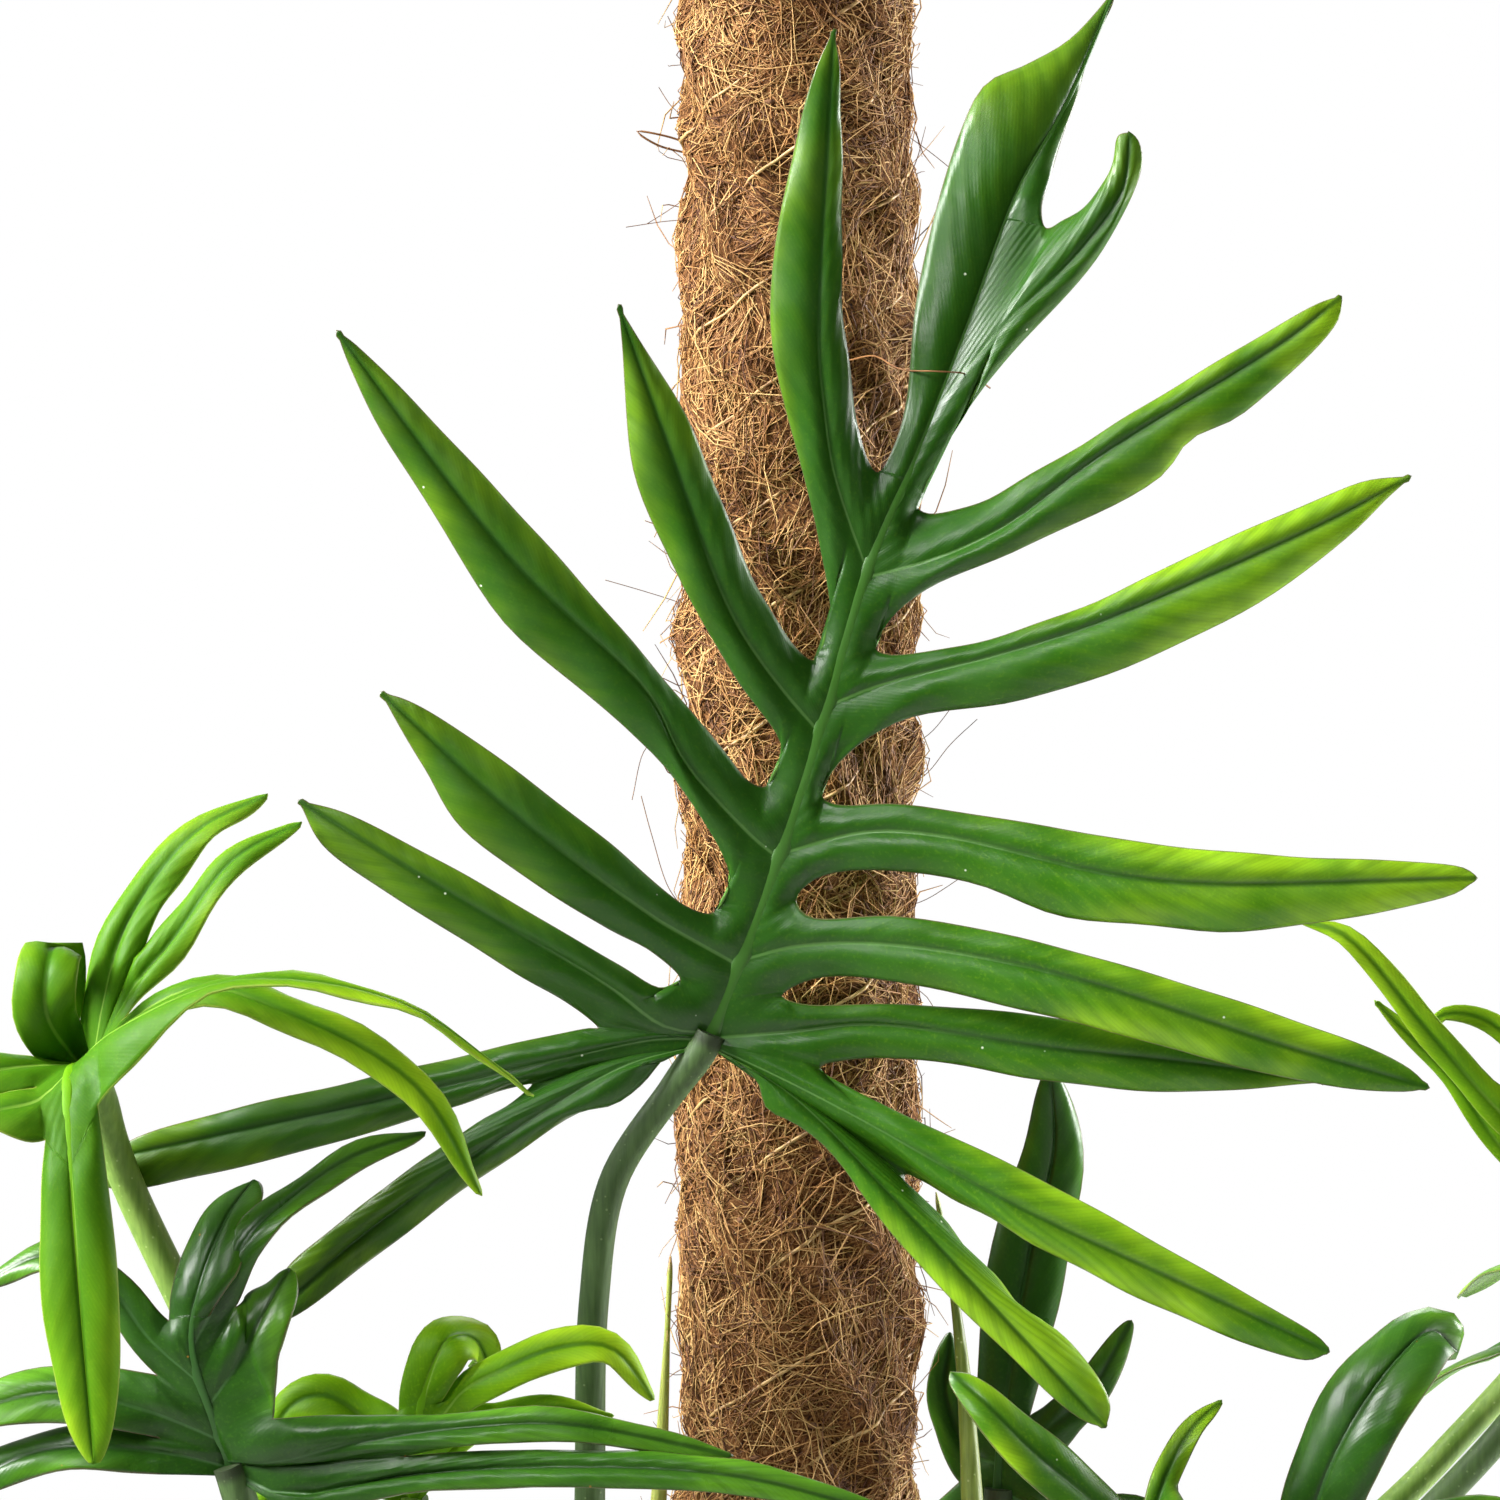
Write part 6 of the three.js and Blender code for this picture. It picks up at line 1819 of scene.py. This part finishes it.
        spot = node("ShaderNodeCombineXYZ", (drawn["x"], drawn["y"]))[0]
        spots = node("GeometryNodePoints", (start["Count"], spot))[0]
        position = node("GeometryNodeInputPosition")[0]
        ring = self._wrapped(node, position)
        swirl = node(NOISE, {"Vector": ring["place"], "Scale": self.swirl_scale, "Detail": 0.5})[0]
        crossing = node(MATH, (drawn["crosses"], self.crossing), "GREATER_THAN")[0]
        turn = node(MATH, (crossing, drawn["cross"], drawn["turn"]), "MULTIPLY_ADD")[0]
        kept = {"turn": node(MATH, (swirl, self.swirl_turn, turn), "MULTIPLY_ADD")[0],
                **{name: drawn[name] for name in ("tint", "bend", "layer", "luck", "size")}}
        read = {}
        for name, value in kept.items():
            spots = node("GeometryNodeStoreNamedAttribute", {0: spots, "Name": name, "Value": value},
                         data_type="FLOAT", domain="POINT")[0]
            read[name] = node("GeometryNodeInputNamedAttribute", {"Name": name}, data_type="FLOAT")[0]
        line = node("GeometryNodeCurvePrimitiveLine", ((-0.5, 0.0, 0.0), (0.5, 0.0, 0.0)))[0]
        angles = node("ShaderNodeCombineXYZ", {2: read["turn"]})[0]
        rotation = node("FunctionNodeEulerToRotation", (angles,))[0]
        reach = node(MATH, (start["Length"], read["size"]), "MULTIPLY")[0]
        laid = node("GeometryNodeInstanceOnPoints", {0: spots, 2: line, 5: rotation, 6: reach})[0]
        real = node("GeometryNodeRealizeInstances", (laid,))[0]
        even = node("GeometryNodeResampleCurve", {"Curve": real, "Count": start["Points"]})[0]

        share = node("GeometryNodeSplineParameter")[0]
        arch = node(MATH, (node(MATH, (share, math.pi), "MULTIPLY")[0],), "SINE")[0]
        bow = arch
        for factor in (read["bend"], start["Length"], self.bow):
            bow = node(MATH, (bow, factor), "MULTIPLY")[0]
        sine, cosine = (node(MATH, (read["turn"],), kind)[0] for kind in ("SINE", "COSINE"))
        back = node(MATH, (sine, -1.0), "MULTIPLY")[0]
        beside = node("ShaderNodeCombineXYZ", (back, cosine))[0]
        sway = node(VECTOR, {0: beside, "Scale": bow}, "SCALE")[0]
        luck = node(MATH, (read["luck"], 90.0), "MULTIPLY")[0]
        kink = node(NOISE, {
            "Vector": position, "W": luck, "Scale": self.kink_scale, "Detail": 1.0},
            noise_dimensions="4D")[1]
        kink = node(VECTOR, (kink, (0.5, 0.5, 0.5)), "SUBTRACT")[0]
        sway = node(VECTOR, (kink, (self.kink * MM, self.kink * MM, 0.0), sway), "MULTIPLY_ADD")[0]
        bent = node("GeometryNodeSetPosition", {0: even, 3: sway})[0]

        stray = node(MATH, (read["luck"], 1 - self.stray_share), "GREATER_THAN")[0]
        for factor in (read["layer"], self.stray_reach * MM):
            stray = node(MATH, (stray, factor), "MULTIPLY")[0]
        late = node(MATH, (share, 1.6), "POWER")[0]
        lift = read["layer"]
        for terms in ((start["Rise"], 0.8 * MM), (arch, -self.dive * MM)):
            lift = node(MATH, (lift, *terms), "MULTIPLY_ADD")[0]
        lift = node(MATH, (late, stray, lift), "MULTIPLY_ADD")[0]
        wrapped = self._wrapped(node, position)
        probe = self.probe * MM
        source = node(VECTOR, (wrapped["out"], (probe,) * 3, wrapped["centre"]), "MULTIPLY_ADD")[0]
        inward = node(VECTOR, {0: wrapped["out"], "Scale": -1.0}, "SCALE")[0]
        target = node("GeometryNodeObjectInfo", (start["Sleeve"],))[4]
        cast = node("GeometryNodeRaycast", {
            0: target, "Source Position": source, "Ray Direction": inward, "Ray Length": probe})
        found = node("GeometryNodeSwitch", (cast[0], wrapped["place"], cast[1]), input_type="VECTOR")[0]
        raised = node(VECTOR, {0: wrapped["out"], "Scale": lift}, "SCALE")[0]
        place = node(VECTOR, (found, raised), "ADD")[0]
        wound = node("GeometryNodeSetPosition", {0: bent, 2: place})[0]

        profile = node("GeometryNodeCurvePrimitiveCircle", {"Resolution": 3, "Radius": 1.0})[0]
        taper = node(MATH, (arch, 0.5, 0.5), "MULTIPLY_ADD")[0]
        body = node(MATH, (read["size"], 0.35, 0.7), "MULTIPLY_ADD")[0]
        for factor in (start["Girth"], taper):
            body = node(MATH, (body, factor), "MULTIPLY")[0]
        recipe.close(node("GeometryNodeCurveToMesh", {
            "Curve": wound, "Profile Curve": profile, "Scale": body, "Fill Caps": True})[0])
        return recipe

    def _wrapped(self, node: Callable, flat: Socket) -> dict[str, Socket]:
        """Rolls the flat sheet, x round the pole and y up, on to the pole and over its top.

        Args:
            node: Adds a node to the tree.
            flat: Places on the flat sheet.

        Returns:
            The direction out, the centre that it starts from, and the place at the pole's radius.
        """
        x, y, _ = node("ShaderNodeSeparateXYZ", (flat,))
        turn = node(MATH, (x, 1 / (self.radius * MM), -math.pi / 2), "MULTIPLY_ADD")[0]
        knee = (self.shoulder - 4) * MM
        over = node(RANGE, (y, knee, knee + self.over_top * MM, 0.0, math.pi / 2))[0]
        cosine, sine = ({name: node(MATH, (angle,), kind)[0]
                         for name, angle in (("over", over), ("turn", turn))} for kind in ("COSINE", "SINE"))
        level = node("ShaderNodeCombineXYZ", (cosine["turn"], sine["turn"]))[0]
        level = node(VECTOR, {0: level, "Scale": cosine["over"]}, "SCALE")[0]
        up = node("ShaderNodeCombineXYZ", {2: sine["over"]})[0]
        out = node(VECTOR, (level, up), "ADD")[0]
        low = node(MATH, (y, knee), "MINIMUM")[0]
        centre = node("ShaderNodeCombineXYZ", {2: low})[0]
        place = node(VECTOR, (out, (self.radius * MM,) * 3, centre), "MULTIPLY_ADD")[0]
        return {"out": out, "centre": centre, "place": place}

    def fleck_recipe(self) -> Recipe:
        """Chips of pith that stick in the coir."""
        recipe = Recipe("pith_flecks", {"Density": "Float", "Size": "Float", "Seed": "Int"})
        start, node = recipe.start, recipe.node
        spots = node("GeometryNodeDistributePointsOnFaces", {
            "Mesh": start["Geometry"], "Density": start["Density"], "Seed": start["Seed"]})
        chip = node("GeometryNodeMeshIcoSphere", {"Radius": 1.0, "Subdivisions": 1})[0]
        size = node("FunctionNodeRandomValue", {0: (0.5, 0.3, 0.2), 1: (1.5, 0.8, 0.5), 8: start["Seed"]},
                    data_type="FLOAT_VECTOR")[0]
        size = node(VECTOR, {0: size, "Scale": start["Size"]}, "SCALE")[0]
        laid = node("GeometryNodeInstanceOnPoints", {0: spots[0], 2: chip, 5: spots[2], 6: size})[0]
        high = node(VECTOR, {0: spots[1], "Scale": 0.9 * MM}, "SCALE")[0]
        recipe.close(node("GeometryNodeSetPosition", {0: laid, 3: high})[0])
        return recipe

    def binding(self, yarn: Material) -> None:
        """The binding yarn: four windings that climb the pole side by side."""
        for k in range(self.windings):
            z = np.linspace(self.soil + 2, self.shoulder - 1, 640)
            turn = (z - self.first) * 2 * np.pi / self.pitch + 2 * np.pi * k / self.windings
            draw = scatter(13 + k)
            z = z + sum(0.45 * draw() * np.sin(z / (4 + 9 * abs(draw())) + 9 * draw()) for _ in range(9))
            radius = self.radius_at(turn, z) + self.yarn + 0.1 + 0.6 * np.sin(z / 5.5 + k)
            path = Path(np.stack([radius * np.cos(turn), radius * np.sin(turn), z], -1))
            name = f"binding_yarn_{k}" if k else "binding_yarn"
            mesh = swept(name, [path], lambda along: self.yarn + 0 * along, yarn, 4.0, 7)
            show(name, mesh, "thread", () if k else ("binding_thread",))

    def strays(self, fibre: Material) -> None:
        """Long fibres that stand out from the pole, and one that lies over the big leaf's end lobe."""
        for name, radius, lines in STRAYS:
            paths = [Path(VIEW.points(points)) for points in lines]
            mesh = swept(name, paths, lambda along, thick=radius: thick + 0 * along, fibre, 1.5, 6)
            note(mesh, "tint", np.full(len(mesh.vertices), 0.15))
            show(name, mesh, "coir")


STRAYS = [
    ("loose_fibre", 0.22, [
        [(13, 845, -28), (19, 846, -44), (26.5, 842.5, -66), (34, 842.2, -73), (42.5, 841.5, -70),
         (48, 838, -58)],
    ]),
    ("bent_fibre", 0.3, [
        [(-26, 898, -3), (-29.8, 900, -3), (-35.8, 901.6, -4), (-40.5, 902.2, -4), (-37.2, 899.8, -4),
         (-33.8, 898.2, -3), (-28, 896.8, -2), (-25, 896, -2)],
    ]),
    ("stray_hairs", 0.11, [
        [(-26, 880, -2), (-32, 879.8, -3), (-37.8, 879, -4), (-43, 878.2, -5)],
        [(-26, 887, 0), (-31.8, 882.8, -1), (-37.8, 879, -3)],
        [(-26, 904, 2), (-31.5, 908.2, 2), (-34.8, 913.2, 1)],
        [(-26, 706, 0), (-31.8, 712, -2), (-36.5, 726, -5), (-39.2, 736, -8)],
        [(-26, 755, 0), (-33, 752, 0), (-38.2, 747.8, -2), (-41.5, 735, -4)],
        [(26, 738, 0), (31.8, 741.2, 0), (38, 748.8, -2), (44.8, 755.2, -5)],
        [(26, 748, 2), (32.5, 751.2, 2), (41.8, 762.5, 0), (47.8, 767.8, -2)],
        [(26, 708, 0), (31.8, 710, 0), (36.8, 713, -2), (43.8, 717.8, -3)],
        [(-26, 783, 0), (-31.5, 785, 0), (-39.5, 787.5, -2), (-48.2, 790, -4)],
        [(26, 690, 3), (32, 686, 4), (36, 679, 4)],
        [(-26, 652, 0), (-32, 655, 0), (-36, 662, -1)],
        [(26, 902, 0), (33, 897, 0), (38, 893, -2)],
    ]),
]


@dataclass
class PotAndSoil:
    """A plain nursery pot, and the potting mix in it."""

    top: float = 120.0
    foot: float = 88.0
    height: float = 200.0
    wall: float = 2.6
    floor: float = 3.0
    rim: float = 4.5
    rim_height: float = 13.0
    sides: int = 96
    soil: float = 182.0
    mound: float = 6.0
    gap: float = 0.4
    drain: tuple[float, float, int, float] = (5.0, 60.0, 6, 0.3)

    def outer(self, z: float) -> float:
        """The outside radius of the wall at a height."""
        return self.foot + (self.top - self.rim - self.foot) * z / self.height

    def inner(self, z: float) -> float:
        """The inside radius at a height."""
        return self.outer(z) - self.wall

    def build(self) -> None:
        """Builds the pot and the soil."""
        plastic = Grained("moulded_nursery_plastic", "#2b2e2f", "#4a4d4c", 0.9, 0.06, (0.45, 0.68)).material()
        show("nursery_pot", self.pot(), "pot_plastic", ("pot",), plastic)
        peat = Grained("peat_and_bark", "#2c1d13", "#5a4029", 1.6, 1.2, (0.85, 1.0)).material()
        ground = show("potting_mix", self.ground(), "potting_soil", ("soil",), peat)
        bark = Grained("pine_bark_chips", "#6b4a30", "#8f6a45", 0.8, 0.5, (0.75, 0.95)).material()
        recipe = self.crumb_recipe()
        for name, density, size, flat, seed, finish in (
            ("soil_crumbs", 26000.0, 2.4, 0.75, 3, peat),
            ("bark_chips", 3200.0, 6.2, 0.3, 8, bark),
        ):
            mesh = recipe.grow(name, ground.data.copy(), {
                "Density": density, "Size": size * MM, "Flat": flat, "Seed": seed, "Material": finish})
            show(name, mesh, "potting_soil")

    def pot(self) -> Mesh:
        """The pot, its corners rounded and its drain holes cut."""
        skirt, top = self.height - self.rim_height, self.top
        inside = self.inner(self.height)
        profile = [
            (0, 0), (60, 0), (self.foot - 3, 0), (self.foot - 0.9, 0.6), (self.foot, 3),
            (self.outer(60), 60), (self.outer(120), 120), (self.outer(skirt), skirt - 0.4),
            (self.outer(skirt) + 0.6, skirt),
            (top - 1.6, skirt), (top - 0.4, skirt + 0.5), (top, skirt + 1.8),
            (top, self.height - 1.8), (top - 0.5, self.height - 0.5), (top - 1.8, self.height),
            (inside + 1.2, self.height), (inside + 0.3, self.height - 0.3), (inside, self.height - 1.2),
            (self.inner(120), 120), (self.inner(60), 60), (self.inner(self.floor) + 0.3, self.floor + 2),
            (self.inner(self.floor) - 1.6, self.floor), (60, self.floor), (0, self.floor),
        ]
        shell = placed("pot_shell", mesh_of("pot_shell", *lathe(profile, self.sides)))
        radius, ring, count, turn = self.drain
        points, faces = lathe([(0, -6), (radius, -6), (radius, 3 * self.floor), (0, 3 * self.floor)], 24)
        places = [turn + 2 * math.pi * i / count for i in range(count)]
        plugs = np.vstack([points + (ring * math.cos(a), ring * math.sin(a), 0) for a in places])
        holes = placed("drain_plugs", mesh_of(
            "drain_plugs", plugs, np.vstack([faces + i * len(points) for i in range(count)])))
        cut = shell.modifiers.new("drain_holes", "BOOLEAN")
        cut.object, cut.solver, cut.operation = holes, "EXACT", "DIFFERENCE"
        graph = bpy.context.evaluated_depsgraph_get()
        mesh = bpy.data.meshes.new_from_object(shell.evaluated_get(graph))
        for piece in (shell, holes):
            bpy.data.objects.remove(piece)
        mesh.set_sharp_from_angle(angle=math.radians(40))
        return mesh

    def ground(self) -> Mesh:
        """The potting mix: a low uneven mound that fills the pot."""
        edge = self.inner(self.soil) - self.gap
        rings = [(edge * share, self.soil + self.mound * (1 - share**2)) for share in np.linspace(1, 0, 60)]
        low = self.floor + self.gap
        points, faces = lathe([(0, low), (self.inner(low) - self.gap, low), *rings], self.sides)
        x, y, z = points.T
        away = np.hypot(x, y)
        draw = scatter(5)
        lumps = sum(0.5 * np.sin(x * draw() / 4 + y * draw() / 4 + 9 * draw()) for _ in range(24))
        points[:, 2] = np.where(z > self.soil - 1, z + 0.9 * lumps * np.clip((edge - away) / 6, 0, 1), z)
        return mesh_of("potting_mix", points, faces)

    def crumb_recipe(self) -> Recipe:
        """Crumbs or chips strewn over the top of the soil."""
        recipe = Recipe("strewn_crumbs", {
            "Density": "Float", "Size": "Float", "Flat": "Float", "Seed": "Int"})
        start, node = recipe.start, recipe.node
        place = node("GeometryNodeInputPosition")[0]
        height = node("ShaderNodeSeparateXYZ", (place,))[2]
        top = node(MATH, (height, (self.soil - 3) * MM), "GREATER_THAN")[0]
        away = node(VECTOR, (place, (1.0, 1.0, 0.0)), "MULTIPLY")[0]
        away = node(VECTOR, (away,), "LENGTH")[1]
        within = node(MATH, (away, (self.inner(self.soil) - 6) * MM), "LESS_THAN")[0]
        chosen = node(MATH, (top, within), "MULTIPLY")[0]
        spots = node("GeometryNodeDistributePointsOnFaces", {
            "Mesh": start["Geometry"], "Selection": chosen, "Density": start["Density"],
            "Seed": start["Seed"]})[0]
        lump = node("GeometryNodeMeshIcoSphere", {"Radius": 0.5, "Subdivisions": 1})[0]
        size, tumble = (
            node("FunctionNodeRandomValue", {0: low, 1: high, 8: start["Seed"]}, data_type="FLOAT_VECTOR")[0]
            for low, high in (((0.3, 0.3, 0.3), (1.3, 1.0, 0.9)), ((-0.5, -0.5, -3.0), (0.5, 0.5, 3.0))))
        flat = node("ShaderNodeCombineXYZ", (1.0, 1.0, start["Flat"]))[0]
        size = node(VECTOR, (size, flat), "MULTIPLY")[0]
        size = node(VECTOR, {0: size, "Scale": start["Size"]}, "SCALE")[0]
        rotation = node("FunctionNodeEulerToRotation", (tumble,))[0]
        recipe.close(node("GeometryNodeInstanceOnPoints", {0: spots, 2: lump, 5: rotation, 6: size})[0])
        return recipe


@dataclass(frozen=True)
class Softbox:
    """A square soft light: its place and side in metres, power in watts and the angle of its grid."""

    place: Point
    size: float
    power: float
    spread: float = 180.0


@dataclass
class Studio:
    """The camera at the photograph's viewing angle, the soft lights and the pale floor."""

    sensor: float = 36.0
    floor: float = 3.2
    backdrop: float = 1.0
    fill: tuple[float, float] = (0.04, 0.5)
    fill_from: Point = (-0.45, 0.89, 0.0)
    target: Point = (0.0, -0.02, 0.72)
    lights: dict[str, Softbox] = field(default_factory=lambda: {
        "key_softbox": Softbox((-2.1, -0.54, 1.87), 1.0, 32.0, 60.0),
        "front_softbox": Softbox((-0.8, -1.8, 1.8), 0.6, 2.8, 60.0),
        "right_softbox": Softbox((1.75, 0.5, 0.95), 0.8, 92.0),
        "back_softbox": Softbox((0.3, 1.8, 1.8), 0.9, 16.0),
    })

    def build(self) -> None:
        """Sets up the studio."""
        self.camera()
        self.world()
        for name, softbox in self.lights.items():
            self.softbox(name, softbox)
        points = np.array([(-1, -1, 0), (1, -1, 0), (1, 1, 0), (-1, 1, 0)]) * self.floor / 2 / MM
        ground = placed("studio_floor", mesh_of("studio_floor", points, [(0, 1, 2, 3)]))
        board = Grained("matt_pale_board", "#e9e8e4", "#dedcd6", 2.0, 0.05, (0.8, 0.9))
        ground.data.materials.append(board.material())

    def camera(self) -> None:
        """A long lens, level with the middle of the part that the photograph shows."""
        lens = bpy.data.cameras.new("studio_camera")
        lens.sensor_width = self.sensor
        lens.lens = self.sensor * VIEW.distance / VIEW.width
        lens.clip_end = 50
        camera = placed("studio_camera", lens)
        camera.location = (VIEW.x * MM, -VIEW.distance * MM, VIEW.z * MM)
        camera.rotation_euler = (math.pi / 2, 0, 0)
        bpy.context.scene.camera = camera

    def world(self) -> None:
        """White round the plant: full for the eye, softer as a light, softest from the front right."""
        world = bpy.data.worlds.new("white_studio")
        bpy.context.scene.world = world
        world.use_nodes = True
        node, shade = partial(add, world.node_tree), world.node_tree.nodes["Background"]
        seen = node("ShaderNodeLightPath")["Is Camera Ray"]
        sky = node("ShaderNodeTexCoord")["Generated"]
        way = node(VECTOR, (sky, self.fill_from), "DOT_PRODUCT")[1]
        behind = node(RANGE, (way, -0.6, 0.8, *self.fill))[0]
        strength = node(RANGE, {0: seen, 3: behind, 4: self.backdrop})[0]
        wire(world.node_tree, shade.inputs, {"Color": (1, 1, 1, 1), "Strength": strength})
        bpy.context.scene.view_settings.view_transform = "Standard"

    def softbox(self, name: str, softbox: Softbox) -> None:
        """Hangs one soft light, turned towards the plant."""
        light = bpy.data.lights.new(name, "AREA")
        light.size, light.energy, light.spread = softbox.size, softbox.power, math.radians(softbox.spread)
        lamp = placed(name, light)
        lamp.location = softbox.place
        away = np.subtract(softbox.place, self.target)
        level = math.hypot(away[0], away[1])
        lamp.rotation_euler = (math.atan2(level, away[2]), 0, math.atan2(away[0], -away[1]))


def dress_pipe() -> None:
    """Gives the pipe inside the coir, which stays a CAD node, its plastic."""
    plastic = Grained("extruded_grey_pipe", "#8d908d", "#a9aba8", 1.5, 0.05, (0.4, 0.6)).material()
    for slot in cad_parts["pole_pipe"].material_slots:
        slot.material = plastic


def main() -> None:
    """Builds the plant piece by piece, then the studio."""
    logging.basicConfig(level=logging.INFO, format="%(message)s", force=True)
    PotAndSoil().build()
    CoirPole().build()
    dress_pipe()
    Stems().build()
    Foliage().build()
    Studio().build()


if __name__ == "__main__":
    main()
